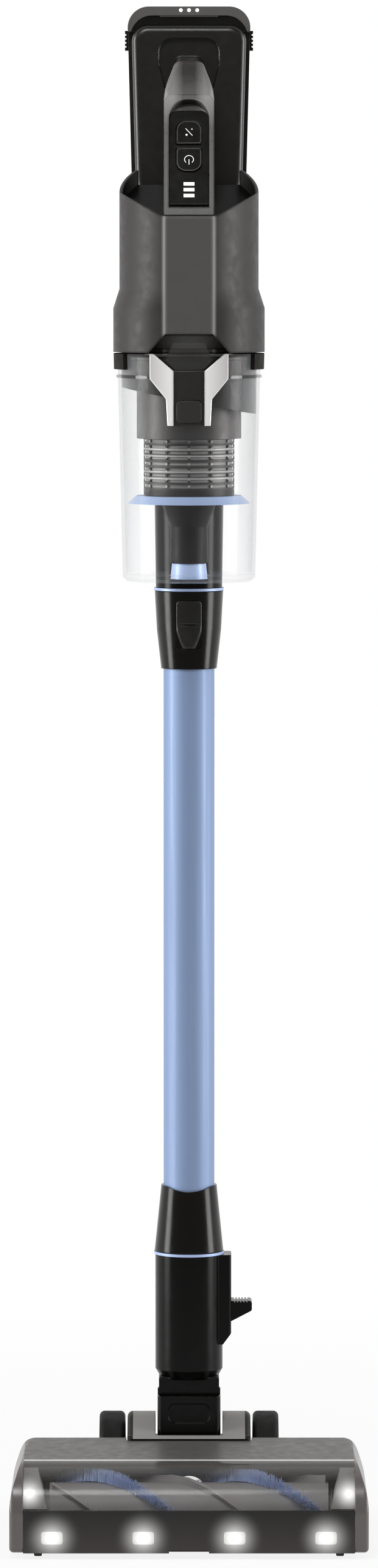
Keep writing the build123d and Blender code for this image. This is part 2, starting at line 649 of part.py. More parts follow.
def make_neck_yoke():
    """Two ears on a low cross-bar, with a boss for each wheel's axle."""
    ear = Pos(WAND_Y, TILT_Z) * Circle(EAR_R)
    boss = Pos(WHEEL_Y, WHEEL_R) * Circle(2.4 * AXLE_R)
    foot = make_face(
        Polyline(
            (YOKE_FRONT, YOKE_BASE),
            (WAND_Y + EAR_R / 2, YOKE_BASE),
            (WAND_Y, TILT_Z),
            (YOKE_FRONT, COVER_Z - WALL),
            close=True,
        )
    )
    outline = make_hull([*ear.edges(), *boss.edges()]) + make_hull([*ear.edges(), *foot.edges()])
    cheek = extrude(Plane.YZ.offset(YOKE_INNER) * outline, amount=YOKE_OUTER - YOKE_INNER, dir=(1, 0, 0))
    rim = cheek.faces().sort_by(Axis.X)[-1].edges().filter_by(GeomType.CIRCLE)
    cheek = fillet(rim, EAR_ROUND)
    cheek -= rod_x(TILT_PIN_R, (YOKE_INNER - 1, YOKE_OUTER - WALL), WAND_Y, TILT_Z)
    cheek -= rod_x(AXLE_R, (YOKE_OUTER - 4 * AXLE_R / 2, YOKE_OUTER + 1), WHEEL_Y, WHEEL_R)
    cheek -= box(
        (YOKE_INNER + WALL, YOKE_OUTER - WALL),
        (YOKE_FRONT + WALL, WAND_Y + EAR_R / 2 - WALL),
        (0, TILT_Z - TILT_PIN_R - 2 * WALL),
    )
    rear = WHEEL_Y + 3 * AXLE_R
    swing = [(YOKE_INNER, WAND_Y + EAR_R - NECK_ROOM), (YOKE_INNER + NECK_ROOM, rear), (YOKE_INNER, rear)]
    cheek -= extrude(make_face(Polyline(*swing, close=True)), amount=2 * TILT_Z, dir=(0, 0, 1))
    bar = box(
        (-YOKE_INNER, YOKE_INNER),
        (YOKE_FRONT, WAND_Y + EAR_R / 2),
        (YOKE_BASE, YOKE_BASE + 2 * SOLE_THICK),
    )
    # Wall and lip in front of the knuckle, with the duct's opening
    across = (-YOKE_INNER, YOKE_INNER)
    lip_z = (COVER_Z - 2 * WALL, COVER_Z - WALL / 2)
    bar += box(across, (YOKE_FRONT, WAND_Y - LIP_ROOM), lip_z)
    bar += box(across, (YOKE_FRONT, YOKE_FRONT + WALL), (YOKE_BASE, lip_z[1]))
    bar -= rod_y(HOSE_R, 0, (YOKE_FRONT - 1, YOKE_FRONT + 2 * WALL), BRUSH_Z + CHAMBER_R / 4)
    # Tray that laps over the rear edge of the cover
    edge = NOTCH_FRONT - TRAY_LAP
    seat = cover_z(NOTCH_FRONT) + SEAT_GAP
    outline = Polyline(
        (edge, cover_z(edge) + SEAT_GAP),
        (NOTCH_FRONT, seat),
        (YOKE_FRONT, seat),
        (YOKE_FRONT, lip_z[0]),
        (YOKE_FRONT + WALL, lip_z[0]),
        (YOKE_FRONT + WALL, COVER_Z + TRAY_RISE),
        (NOTCH_FRONT, COVER_Z + TRAY_RISE),
        (edge, seat + TRAY_RISE / 2),
        close=True,
    )
    tray = extrude(Plane.YZ.offset(-YOKE_OUTER) * make_face(outline), amount=2 * YOKE_OUTER, dir=(1, 0, 0))
    tray &= fillet(
        box((-YOKE_OUTER, YOKE_OUTER), (edge, WAND_Y), (0, 2 * COVER_Z)).edges().filter_by(Axis.Z), EAR_ROUND
    )
    return bar + cheek + mirrored(cheek) + tray


def make_yoke_pins():
    """Two pins that the knuckle tilts on, and a headed pin through each wheel."""
    inner = KNUCKLE_WIDTH / 2 - HOSE_RIB * 6
    tilt_pin = rod_x(TILT_PIN_R, (inner + RUN_GAP, YOKE_OUTER - WALL), WAND_Y, TILT_Z)
    axle = rod_x(AXLE_R, (YOKE_OUTER - 2 * AXLE_R, AXLE_TIP), WHEEL_Y, WHEEL_R)
    axle += rod_x(1.6 * AXLE_R, (AXLE_TIP, AXLE_TIP + AXLE_FLANGE), WHEEL_Y, WHEEL_R)
    return Compound(children=[*both(tilt_pin).solids(), *both(axle).solids()])


def make_wheel():
    """Right-hand wheel with rounded edges and a dished outer face."""
    inner = YOKE_OUTER + WHEEL_GAP
    outer = inner + WHEEL_WIDTH
    wheel = rod_x(WHEEL_R, (inner, outer), WHEEL_Y, WHEEL_R)
    wheel = fillet(wheel.edges().filter_by(GeomType.CIRCLE), WHEEL_WIDTH / 5)
    dish = rod_x(WHEEL_R * 0.7, (outer - 2 * AXLE_FLANGE, outer + 1), WHEEL_Y, WHEEL_R)
    dish -= rod_x(2 * AXLE_R, (outer - 2 * AXLE_FLANGE, outer + 1), WHEEL_Y, WHEEL_R)
    hollow = rod_x(WHEEL_R * 0.82, (inner - 1, inner + WHEEL_WIDTH * 0.6), WHEEL_Y, WHEEL_R)
    hollow -= rod_x(2 * AXLE_R, (inner - 1, outer), WHEEL_Y, WHEEL_R)
    return wheel - dish - hollow - rod_x(AXLE_R + SEAT_GAP, (inner - 1, outer + 1), WHEEL_Y, WHEEL_R)


def rolling_tongue(grow, top):
    """The neck's tongue, round about the roll axis, or the trough that it sits in."""
    half_x = TONGUE_HALF[0] + grow
    span = (WAND_Y - TONGUE_HALF[1] - grow, WAND_Y + TONGUE_HALF[1] + grow)
    round_end = rod_y(half_x, 0, span, ROLL_Z)
    return round_end + box((-half_x, half_x), span, (ROLL_Z, top))


def make_knuckle():
    """Block between the two hinges: tilts in the yoke and carries the rolling neck."""
    half_x = KNUCKLE_WIDTH / 2
    half_y = KNUCKLE_DEPTH / 2
    block = box(
        (-half_x, half_x), (WAND_Y - half_y, WAND_Y + half_y), (KNUCKLE_BOTTOM, KNUCKLE_TOP)
    )
    block = fillet(block.edges().filter_by(Axis.Z), KNUCKLE_ROUND)
    gap = 2 * RUN_GAP
    trough = rolling_tongue(gap, KNUCKLE_TOP + 1)
    inside = (WAND_Y - TONGUE_HALF[1] - gap, WAND_Y + TONGUE_HALF[1] + gap)
    trough += box((-half_x - 1, half_x + 1), inside, (ROLL_Z - SIDE_ROOM, KNUCKLE_TOP + 1))
    block -= trough
    block -= rod_z(HOSE_R + RUN_GAP, 0, WAND_Y, (KNUCKLE_BOTTOM - 1, ROLL_Z))
    inner = half_x - HOSE_RIB * 6
    block -= both(rod_x(TILT_PIN_R + SEAT_GAP, (inner, half_x + 1), WAND_Y, TILT_Z))
    for side in (-1, 1):
        near = WAND_Y + side * TONGUE_HALF[1]
        far = WAND_Y + side * (half_y - PIN_COVER)
        block -= rod_y(ROLL_PIN_R, 0, (min(near, far), max(near, far)), ROLL_Z)
    # Rounded panel let into the front
    wide, high, low = KNUCKLE_PANEL
    face = WAND_Y - half_y
    panel = box((-wide, wide), (face - 1, face + PANEL_DEEP), (KNUCKLE_TOP - low, KNUCKLE_TOP - high))
    return block - fillet(panel.edges().filter_by(Axis.Y), KNUCKLE_ROUND)


def make_roll_pins():
    """Two pins that the neck rolls on."""
    pins = []
    for side in (-1, 1):
        near = WAND_Y + side * (SPIGOT_R - WALL)
        far = WAND_Y + side * (KNUCKLE_DEPTH / 2 - PIN_COVER)
        pins.append(rod_y(ROLL_PIN_R, 0, (min(near, far), max(near, far)), ROLL_Z).solid())
    return Compound(children=pins)


def make_neck_hose():
    """Ribbed hose that follows both hinges, drawn straight."""
    low, high = KNUCKLE_BOTTOM + SEAT_GAP, NECK_BOTTOM + HOSE_RIB
    step = (high - low) / HOSE_RIBS
    outline = [(HOSE_BORE, low)]
    for i in range(HOSE_RIBS):
        z = low + i * step
        outline += [(HOSE_R - HOSE_RIB, z), (HOSE_R - HOSE_RIB, z + 0.25 * step)]
        outline += [(HOSE_R, z + 0.4 * step), (HOSE_R, z + 0.75 * step)]
        outline += [(HOSE_R - HOSE_RIB, z + 0.9 * step)]
    outline += [(HOSE_R - HOSE_RIB, high), (HOSE_BORE, high)]
    return turned(outline)


def make_neck_tube():
    """Neck with its rolling tongue below, the wand's spigot above and the pedal's housing."""
    throat = ROLL_Z + TONGUE_HALF[0] + 3
    neck = turned(
        [
            (0, throat),
            (TONGUE_HALF[0] - 1, throat),
            (NECK_R, NECK_BOTTOM),
            (NECK_R, NECK_TOP),
            (SPIGOT_R, NECK_TOP),
            (SPIGOT_R, NECK_TOP + SPIGOT_LENGTH),
            (0, NECK_TOP + SPIGOT_LENGTH),
        ]
    )
    half = PEDAL_WIDTH / 2
    side, low = PEDAL_BOX
    slant_x, slant_z = POD_SLANT
    under = low - slant_z
    pod = across_y(
        [(0, under), (side - slant_x, under), (side, low), (side, NECK_TOP), (0, NECK_TOP)],
        (WAND_Y - half - WALL, WAND_Y + half + WALL),
    )
    pod = fillet(pod.edges().filter_by(Axis.Z).sort_by(Axis.X)[-2:], WALL)
    neck = neck + pod + rolling_tongue(0, throat + 1)
    slot = box(
        (NECK_R + RUN_GAP, side + 1),
        (WAND_Y - half - RUN_GAP, WAND_Y + half + RUN_GAP),
        (PEDAL_Z[0] - PEDAL_TRAVEL - RUN_GAP, PEDAL_Z[1] + RUN_GAP),
    )
    bore = SPIGOT_R - WALL
    neck -= slot
    neck -= rod_z(bore, 0, WAND_Y, (0, NECK_TOP + SPIGOT_LENGTH + 1))
    neck -= rod_z(NECK_R - WALL, 0, WAND_Y, (NECK_BOTTOM + 2 * WALL, NECK_TOP - 2 * WALL))
    span = (WAND_Y - KNUCKLE_DEPTH, WAND_Y + KNUCKLE_DEPTH)
    return neck - rod_y(ROLL_PIN_R + SEAT_GAP, 0, span, ROLL_Z)


def make_lower_trim_ring():
    """Bright ring where the wand meets the neck."""
    outer = COLLAR_LOW_R[0] + RING_PROUD
    ring = rod_z(outer, 0, WAND_Y, (NECK_TOP, NECK_TOP + RING_THICK))
    return ring - rod_z(SPIGOT_R + SEAT_GAP, 0, WAND_Y, (NECK_TOP - 1, NECK_TOP + RING_THICK + 1))


def make_pedal():
    """Ribbed foot pedal that lets the wand go."""
    half = PEDAL_WIDTH / 2
    low, high = PEDAL_Z
    near = NECK_R + 2 * RUN_GAP
    pedal = across_y(
        [(near, low), (PEDAL_BOX[0], low), (PEDAL_REACH, high - PEDAL_TIP), (PEDAL_REACH, high), (near, high)],
        (WAND_Y - half, WAND_Y + half),
    )
    pedal = fillet(pedal.edges().filter_by(Axis.Y).sort_by(Axis.X)[-2:], 2.0)
    first = PEDAL_BOX[0] + 2
    for i in range(PEDAL_RIBS):
        x = first + i * (PEDAL_REACH - first - 2) / PEDAL_RIBS
        pedal -= box((x, x + 1), (0, 2 * WAND_Y), (PEDAL_Z[1] - 1, PEDAL_Z[1] + 1))
    return pedal


# Wand


def make_wand_tube():
    """Long round tube."""
    tube = rod_z(WAND_R, 0, WAND_Y, (WAND_BOTTOM, WAND_TOP))
    return tube - rod_z(WAND_R - WAND_WALL, 0, WAND_Y, (WAND_BOTTOM - 1, WAND_TOP + 1))


def make_wand_lower_collar():
    """Flared collar over the wand's lower end, scooped at the front and back."""
    low, high = COLLAR_LOW
    wide, narrow = COLLAR_LOW_R
    collar = turned([(0, low), (wide, low), (narrow, high), (0, high)])
    scoop, depth = COLLAR_SCOOP
    collar -= rod_y(scoop, 0, (WAND_Y - 2 * wide, WAND_Y + 2 * wide), high - depth + scoop)
    return collar - rod_z(WAND_R + SEAT_GAP, 0, WAND_Y, (low - 1, high + 1))


def catch_block(grow, back):
    """Space of the catch button in the upper collar, from its front to a given depth."""
    width, height = CATCH_SIZE
    block = box(
        (-width / 2 - grow, width / 2 + grow),
        (WAND_Y - 2 * COLLAR_HIGH_R[1], WAND_Y - back),
        (CATCH_Z - height / 2 - grow, CATCH_Z + height / 2 + grow),
    )
    return fillet(block.edges().filter_by(Axis.Y), CATCH_ROUND)


def collar_body(grow):
    """Outside of the upper collar."""
    low, high = COLLAR_HIGH
    narrow, middle, wide = (radius + grow for radius in COLLAR_HIGH_R)
    return turned([(0, low), (narrow, low), (middle, (low + high) / 2), (wide, high), (0, high)])


def make_wand_upper_collar():
    """Collar over the wand's upper end, with the catch button's pocket."""
    low, high = COLLAR_HIGH
    collar = collar_body(0) - catch_block(RUN_GAP, WAND_R + WAND_WALL)
    return collar - rod_z(WAND_R + SEAT_GAP, 0, WAND_Y, (low - 1, high + 1))


def make_wand_button():
    """Catch button with a line across its middle."""
    button = collar_body(RING_PROUD) & catch_block(0, WAND_R + WAND_WALL + CATCH_TRAVEL + RUN_GAP)
    groove = box(
        (-CATCH_SIZE[0], CATCH_SIZE[0]),
        (WAND_Y - 2 * COLLAR_HIGH_R[2], WAND_Y - COLLAR_HIGH_R[1] + RING_PROUD),
        (CATCH_Z - 0.5, CATCH_Z + 0.5),
    )
    return button - groove


# Dust cup

HINGE_Y = CUP_Y + CUP_R[0] + HINGE_BACK
LID_TOP = CUP_BOTTOM - LID_OPEN_GAP
HINGE_Z = LID_TOP - LID_THICK / 2


def cup_radius(z):
    """Outside of the tapering cup at one height."""
    share = (z - CUP_BOTTOM) / (CUP_TOP - CUP_BOTTOM)
    return CUP_R[0] + share * (CUP_R[1] - CUP_R[0])


def cup_shell(inner, outer, z):
    """A tapering ring that follows the cup's wall, between two offsets from its outside."""
    low, high = z
    return turned(
        [
            (cup_radius(low) + inner, low),
            (cup_radius(low) + outer, low),
            (cup_radius(high) + outer, high),
            (cup_radius(high) + inner, high),
        ],
        y=CUP_Y,
    )


def make_dust_cup():
    """Clear tapering cup, open at both ends, with a bead, an inlet and hinge lugs."""
    cup = cup_shell(-CUP_WALL, 0, (CUP_BOTTOM, CUP_TOP))
    bead_z = LATCH_Z[2] + 1
    bead = cup_shell(-CUP_WALL / 2, CUP_WALL / 2, (bead_z - 1, bead_z + 1))
    front = LATCH_HALF[0] + 1
    bead -= box((-front, front), (CUP_Y - 2 * CUP_R[1], CUP_Y), (CUP_BOTTOM, CUP_TOP))
    cup += bead
    cup -= rod_y(INLET_R, 0, (CUP_Y, CUP_Y + 2 * CUP_R[1]), INLET_Z)
    near = HINGE_HALF + RUN_GAP
    lug = rod_x(HINGE_R, (near, near + HINGE_LUG), HINGE_Y, HINGE_Z)
    lug += box(
        (near, near + HINGE_LUG),
        (HINGE_Y - HINGE_R + 2 * RUN_GAP, HINGE_Y + HINGE_R),
        (HINGE_Z, HINGE_Z + 4 * HINGE_R),
    )
    lug += box(
        (near, near + HINGE_LUG),
        (HINGE_Y - 3 * HINGE_R, HINGE_Y + HINGE_R),
        (CUP_BOTTOM, HINGE_Z + 4 * HINGE_R),
    )
    lug -= rod_x(HINGE_PIN_R, (0, 2 * CUP_R[0]), HINGE_Y, HINGE_Z)
    bore = turned(
        [
            (0, CUP_BOTTOM - LID_THICK),
            (cup_radius(CUP_BOTTOM) - CUP_WALL, CUP_BOTTOM - LID_THICK),
            (cup_radius(CUP_TOP) - CUP_WALL, CUP_TOP),
            (0, CUP_TOP),
        ],
        y=CUP_Y,
    )
    lug -= bore
    return cup + lug + mirrored(lug)


def make_lid_hinge_pin():
    """Steel pin of the lid's hinge."""
    end = HINGE_HALF + RUN_GAP + HINGE_LUG
    return rod_x(HINGE_PIN_R, (-end, end), HINGE_Y, HINGE_Z)


def make_cup_lid():
    """Bottom door of the cup."""
    radius = CUP_R[0]
    low = LID_TOP - LID_THICK
    lid = turned(
        [
            (0, low),
            (radius - LID_EDGE, low),
            (radius, low + LID_EDGE),
            (radius, LID_TOP),
            (0, LID_TOP),
        ],
        y=CUP_Y,
    )
    lid -= rod_z(PLUG_R + SEAT_GAP, 0, CUP_Y, (low + LID_SKIN, CUP_BOTTOM))
    near = HINGE_HALF + RUN_GAP
    notch = (near - RUN_GAP, near + HINGE_LUG + RUN_GAP)
    lid -= both(box(notch, (HINGE_Y - HINGE_R - 2 * RUN_GAP, HINGE_Y + 1), (low - 1, LID_TOP + 1)))
    lid += rod_x(HINGE_R, (-HINGE_HALF, HINGE_HALF), HINGE_Y, HINGE_Z)
    lid += box(
        (-HINGE_HALF, HINGE_HALF), (HINGE_Y - 2 * HINGE_R, HINGE_Y), (low, HINGE_Z + 1)
    )
    return lid - rod_x(HINGE_PIN_R + SEAT_GAP, (-2 * HINGE_HALF, 2 * HINGE_HALF), HINGE_Y, HINGE_Z)


def make_cone_plug():
    """Plug on the lid that closes the cone."""
    base = LID_TOP - LID_THICK + LID_SKIN + SEAT_GAP
    top = CONE_BOTTOM - RUN_GAP
    return turned([(0, base), (PLUG_R, base), (PLUG_R - 1, top), (0, top)], y=CUP_Y)


def make_shroud():
    """Cyclone shroud with its top flange and the slanted ramp of the inlet."""
    flange_z = (CUP_TOP - 2 * CUP_WALL, CUP_TOP - CUP_WALL)
    shroud = rod_z(SHROUD_R, 0, CUP_Y, (SHROUD_BOTTOM, flange_z[1]))
    inside = cup_radius(RAMP_LOW[0]) - CUP_WALL - 2 * SEAT_GAP
    right, left = RAMP_LOW
    ramp = rod_z(inside, 0, CUP_Y, (right - 1, flange_z[1]))
    wedge = make_face(
        Plane.XZ * Polyline((-inside - 1, left), (inside + 1, right), (inside + 1, 0), (-inside - 1, 0), close=True)
    )
    ramp -= Pos(0, CUP_Y, 0) * extrude(wedge, amount=2 * inside, both=True)
    hollow = rod_z(inside - CUP_WALL, 0, CUP_Y, (right - 1, flange_z[0]))
    hollow -= Pos(0, CUP_Y, CUP_WALL) * extrude(wedge, amount=2 * inside, both=True)
    hollow -= rod_z(SHROUD_R, 0, CUP_Y, (0, CUP_TOP))
    shroud = shroud + (ramp - hollow)
    shroud += rod_z(cup_radius(flange_z[0]) - CUP_WALL - 2 * SEAT_GAP, 0, CUP_Y, flange_z)
    return shroud - rod_z(SHROUD_R - CUP_WALL, 0, CUP_Y, (0, CUP_TOP + 1))


def make_mesh_screen():
    """Screen with rows of openings, held in the shroud by a flange."""
    flange = (SHROUD_BOTTOM, SHROUD_BOTTOM + CUP_WALL)
    tube = rod_z(MESH_R, 0, CUP_Y, (SKIRT_Z[1], flange[1]))
    tube -= rod_z(MESH_R - MESH_WALL, 0, CUP_Y, (0, CUP_TOP))
    row = (SHROUD_BOTTOM - MESH_BOTTOM) / MESH_SLOT_ROWS
    open_tube = tube
    for i in range(MESH_SLOT_ROWS):
        z = MESH_BOTTOM + i * row
        open_tube -= rod_z(MESH_R + 1, 0, CUP_Y, (z + 0.35 * row, z + 0.9 * row))
    ribs = 12
    for i in range(ribs):
        rib = box((0, 2 * MESH_R), (-MESH_WALL, MESH_WALL), (SKIRT_Z[1], flange[1]))
        open_tube += (Pos(0, CUP_Y, 0) * Rot(0, 0, 360.0 * i / ribs) * rib) & tube
    ring = rod_z(SHROUD_R - CUP_WALL - SEAT_GAP, 0, CUP_Y, flange)
    return open_tube + (ring - rod_z(MESH_R - MESH_WALL, 0, CUP_Y, (0, CUP_TOP)))


def make_skirt():
    """Flared skirt under the screen, with the floor that the cone hangs from."""
    low, high = SKIRT_Z
    wide = SKIRT_R[1]
    skirt = turned(
        [
            (CONE_R[0] - CONE_WALL, high - 1.5 * CONE_WALL),
            (SKIRT_R[0] - CONE_WALL, high - 1.5 * CONE_WALL),
            (wide - CONE_WALL, low),
            (wide, low),
            (SKIRT_R[0], high - SEAT_GAP),
            (CONE_R[0] - CONE_WALL, high - SEAT_GAP),
        ],
        y=CUP_Y,
    )
    return skirt


def make_cone():
    """Dust cone below the skirt."""
    top = SKIRT_Z[1] - 1.5 * CONE_WALL - SEAT_GAP
    wide, narrow = CONE_R
    return turned(
        [
            (wide - CONE_WALL, top),
            (wide, top),
            (narrow, CONE_WAIST),
            (narrow, CONE_BOTTOM),
            (narrow - CONE_WALL, CONE_BOTTOM),
            (narrow - CONE_WALL, CONE_WAIST),
        ],
        y=CUP_Y,
    )


def front_plate(points):
    """A plate of (x, z) points, extruded through the front of the cup."""
    return across_y(points, (CUP_Y - 2 * CUP_R[1], CUP_Y - CUP_R[0] / 2))


def sym(points):
    """Right-hand (half width, z) points, from the bottom up, closed by their mirror image."""
    return list(points) + [(-x, z) for x, z in reversed(points)]


def button_opening(grow):
    """Front view of the cup's button, grown on every side."""
    low, top = CUP_BUTTON_Z
    half = CUP_BUTTON_HALF + grow
    plate = front_plate(sym([(half, low - grow), (half, top + grow)]))
    return fillet(plate.edges().filter_by(Axis.Y), LATCH_ROUND)


def make_latch_frame():
    """Bright forked catch frame on the front of the cup."""
    foot, legs, wings, top = LATCH_Z
    wide, narrow = LATCH_HALF
    plate = front_plate(sym([(narrow - 1, foot), (narrow, legs), (wide, wings), (wide, top)]))
    vee_top, vee_low, vee_z = LATCH_VEE
    plate -= front_plate(sym([(vee_low, vee_z), (vee_top, top + 1)]))
    plate &= cup_shell(SEAT_GAP, LATCH_PROUD, (foot - 1, top + 1))
    slot = front_plate(sym([(LATCH_SLOT, foot - 1), (LATCH_SLOT, top)]))
    plate -= slot & cup_shell(LATCH_BACK, 2 * LATCH_PROUD, (foot - 2, top + 1))
    return plate - button_opening(RUN_GAP)


def make_latch_insert():
    """Dark strip in the catch frame, round the button."""
    half = LATCH_SLOT - SEAT_GAP
    low, top = LATCH_Z[0], LATCH_VEE[2] - SEAT_GAP
    plate = front_plate(sym([(half, low), (half, top)]))
    plate &= cup_shell(LATCH_BACK + SEAT_GAP, INSERT_PROUD, (low - 1, top + 1))
    return plate - button_opening(RUN_GAP)


def make_cup_button():
    """Pad that frees the cup."""
    low, top = CUP_BUTTON_Z
    lift = CUP_BUTTON_TRAVEL + 2 * RUN_GAP
    return button_opening(0) & cup_shell(lift, LATCH_PROUD, (low - 1, top + 1))


def make_latch_tab():
    """Smoked tab in the fork of the catch frame, under the housing's notch."""
    low, top = LATCH_TAB[0][1], LATCH_TAB[-1][1]
    return front_plate(sym(LATCH_TAB)) & cup_shell(SEAT_GAP, LATCH_PROUD, (low - 1, top + 1))


# Hand unit


def make_suction_tube():
    """Dark tube behind the cup, with the wand's spigot below and the cup's inlet in front."""
    top = HOUSING_Z - SEAT_GAP
    low_r, high_r = TUBE_R
    shoulder = TUBE_BOTTOM + SPIGOT_SEAT
    tube = turned([(0, TUBE_BOTTOM), (low_r, TUBE_BOTTOM), (high_r, top), (0, top)])
    mouth = CUP_Y + cup_radius(INLET_Z) + 2 * RUN_GAP
    tube += rod_y(INLET_R + WALL / 2, 0, (mouth, WAND_Y), INLET_Z)
    tube -= rod_z(SPIGOT_R + SEAT_GAP, 0, WAND_Y, (TUBE_BOTTOM - 1, shoulder))
    tube -= turned(
        [
            (0, shoulder - 1),
            (SPIGOT_R - WALL, shoulder - 1),
            (SPIGOT_R - WALL, shoulder + WALL),
            (low_r - WALL, shoulder + 3 * WALL),
            (high_r - WALL, top - WALL),
            (0, top - WALL),
        ]
    )
    tube -= rod_y(INLET_R, 0, (mouth - 1, WAND_Y), INLET_Z)
    # Sleeve pushed into the tube up to its shoulder
    sleeve = rod_z(SPIGOT_R, 0, WAND_Y, (TUBE_BOTTOM - SPIGOT_LENGTH, shoulder))
    sleeve -= rod_z(SPIGOT_R - WALL, 0, WAND_Y, (0, shoulder + 1))
    return Compound(children=[tube.solid(), sleeve.solid()])


def make_upper_trim_ring():
    """Bright ring where the wand meets the hand unit."""
    ring = rod_z(COLLAR_HIGH_R[2] + RING_PROUD, 0, WAND_Y, (TUBE_BOTTOM - RING_THICK, TUBE_BOTTOM))
    return ring - rod_z(SPIGOT_R + SEAT_GAP, 0, WAND_Y, (0, TUBE_BOTTOM + 1))


def housing_face(grow, thin, z):
    """Plan of the front housing: a flat panel, two round shoulders and sides drawn in to the rear."""
    half = HOUSING_HALF + grow - thin
    waist = HOUSING_WAIST + grow - thin
    front = CUP_Y - HOUSING_FRONT + thin
    back = CUP_Y + HOUSING_BACK
    turn = CUP_Y - HOUSING_FRONT * 0.08
    bulge = (0.79 * half, CUP_Y - 0.64 * (HOUSING_FRONT - thin) - 0.3 * grow)
    hip = (waist + 0.79 * (half - waist), turn + 0.5 * (back - turn))
    outline = Polyline((PANEL_HALF, front), (-PANEL_HALF, front))
    outline += ThreePointArc((PANEL_HALF, front), bulge, (half, turn))
    outline += ThreePointArc((half, turn), hip, (waist, back))
    outline += Line((waist, back), (-waist, back))
    outline += ThreePointArc((-waist, back), (-hip[0], hip[1]), (-half, turn))
    outline += ThreePointArc((-half, turn), (-bulge[0], bulge[1]), (-PANEL_HALF, front))
    return make_face(Plane.XY.offset(z) * outline)


def rear_face(grow, thin, z):
    """Plan of the rear cover, tapering to the back."""
    half = HOUSING_WAIST + grow - thin
    front = CUP_Y + HOUSING_BACK + SEAT_GAP
    back = WAND_Y + REAR_BACK - thin
    outline = [(half, front), (half - 2, WAND_Y), (0.8 * half, back - 8), (0.6 * half, back)]
    left = [(-x, y) for x, y in reversed(outline)]
    return make_face(Plane.XY.offset(z) * Polyline(*outline, *left, close=True))


def stepped(face, thin, top):
    """A body on one of those plans, wider below the step. thin shrinks it for the inside."""
    low, high = HOUSING_STEP
    wide = face(STEP_OUT, thin, HOUSING_Z)
    body = extrude(wide, amount=low - HOUSING_Z, dir=(0, 0, 1))
    body += loft([face(STEP_OUT, thin, low), face(0, thin, high)], ruled=True)
    return body + extrude(face(0, thin, high), amount=top - high, dir=(0, 0, 1))


def rim_z(y):
    """Height of the slanted rim."""
    front = CUP_Y - HOUSING_FRONT
    slope = (RIM_BACK - RIM_FRONT) / (HOUSING_FRONT + HOUSING_BACK)
    return RIM_FRONT + slope * (y - front)


def above_rim(drop, y0, y1):
    """Everything over the slanted rim, lowered by some amount."""
    half = 2 * HOUSING_HALF
    top = 2 * RIM_BACK
    points = [(y0, rim_z(y0) - drop), (y1, rim_z(y1) - drop), (y1, top), (y0, top)]
    return side_profile(points, (-half, half))


def above_shoulders(y0, y1):
    """Everything over the rim's straight shoulder lines, as the front view shows them."""
    far = 2 * HOUSING_HALF
    end = RIM_FRONT + SHOULDER_RISE * (far - PANEL_HALF) / (HOUSING_HALF - PANEL_HALF)
    top = 2 * RIM_BACK
    half = [(PANEL_HALF, RIM_FRONT), (far, end), (far, top)]
    return across_y(half + [(-x, z) for x, z in reversed(half)], (y0, y1))


def make_main_housing():
    """Grey front shell round the motor, with a floor for the filter and a shelf for the motor."""
    front = CUP_Y - 2 * HOUSING_FRONT
    back = CUP_Y + HOUSING_BACK + 1
    shell = stepped(housing_face, 0, RIM_BACK + 1)
    room = stepped(housing_face, WALL, RIM_BACK + 2)
    floor = box((-90, 90), (front, back), (HOUSING_Z, HOUSING_Z + WALL))
    shelf_z = (MOTOR_Z[0] - WALL - SEAT_GAP, MOTOR_Z[0] - SEAT_GAP)
    shelf = box((-90, 90), (front, back), shelf_z)
    room = room - floor - shelf
    shell = shell - room - (above_rim(0, front, back) & above_shoulders(front, back))
    shell -= rod_z(FILTER_R - WALL, 0, CUP_Y, (0, FILTER_TOP))
    shell -= rod_z(FAN_R + 2 * RUN_GAP, 0, CUP_Y, (FILTER_TOP, MOTOR_Z[0] + 1))
    wide, narrow, top = CUTOUT
    low = HOUSING_Z - 1
    notch = front_plate([(-wide, low), (wide, low), (narrow, top), (-narrow, top)])
    keep_out = box((-90, 90), (CUP_Y - HOUSING_FRONT + CUTOUT_DEEP, back), (0, 2 * RIM_BACK))
    return shell - (notch - keep_out)


def make_side_clips():
    """Small dark catches on either side of the cup's rim."""
    thick, reach, tall = CLIP_SIZE
    top = CUP_TOP - SEAT_GAP
    ring = cup_shell(SEAT_GAP, thick, (top - tall, top))
    return ring & box((-2 * CUP_R[1], 2 * CUP_R[1]), (CUP_Y - reach, CUP_Y + reach), (0, 2 * CUP_TOP))


def make_rear_cover():
    """Rear shell with a closed top that the dock stands on."""
    top = DOCK_Z[0] - SEAT_GAP
    shell = stepped(rear_face, 0, top)
    room = stepped(rear_face, WALL, top)
    room &= box((-90, 90), (-90, 90), (HOUSING_Z + WALL, top - WALL))
    mouth = box(
        (-HOUSING_WAIST + WALL, HOUSING_WAIST - WALL),
        (CUP_Y + HOUSING_BACK, CUP_Y + HOUSING_BACK + 2 * WALL),
        (HOUSING_Z + WALL, top - WALL),
    )
    shell = shell - room - mouth
    half, tall, step = VENT_SIZE
    back = WAND_Y + REAR_BACK
    for i in range(VENT_ROWS):
        z = VENT_Z + i * step
        shell -= box((-half, half), (back - 2 * WALL, back + 1), (z, z + tall))
    return shell


def make_top_deck():
    """Black deck inside the rim."""
    front = CUP_Y - 2 * HOUSING_FRONT
    back = CUP_Y + HOUSING_BACK + 1
    top = RIM_BACK + 1
    inside = extrude(housing_face(0, WALL + SEAT_GAP, RIM_FRONT - 4 * DECK_DROP), amount=top, dir=(0, 0, 1))
    slab = above_rim(DECK_DROP + WALL, front, back) - above_rim(DECK_DROP, front, back)
    return inside & slab


def deck_point(y):
    """A point on the deck, as (y, z)."""
    return (y, rim_z(y) - DECK_DROP + SEAT_GAP)


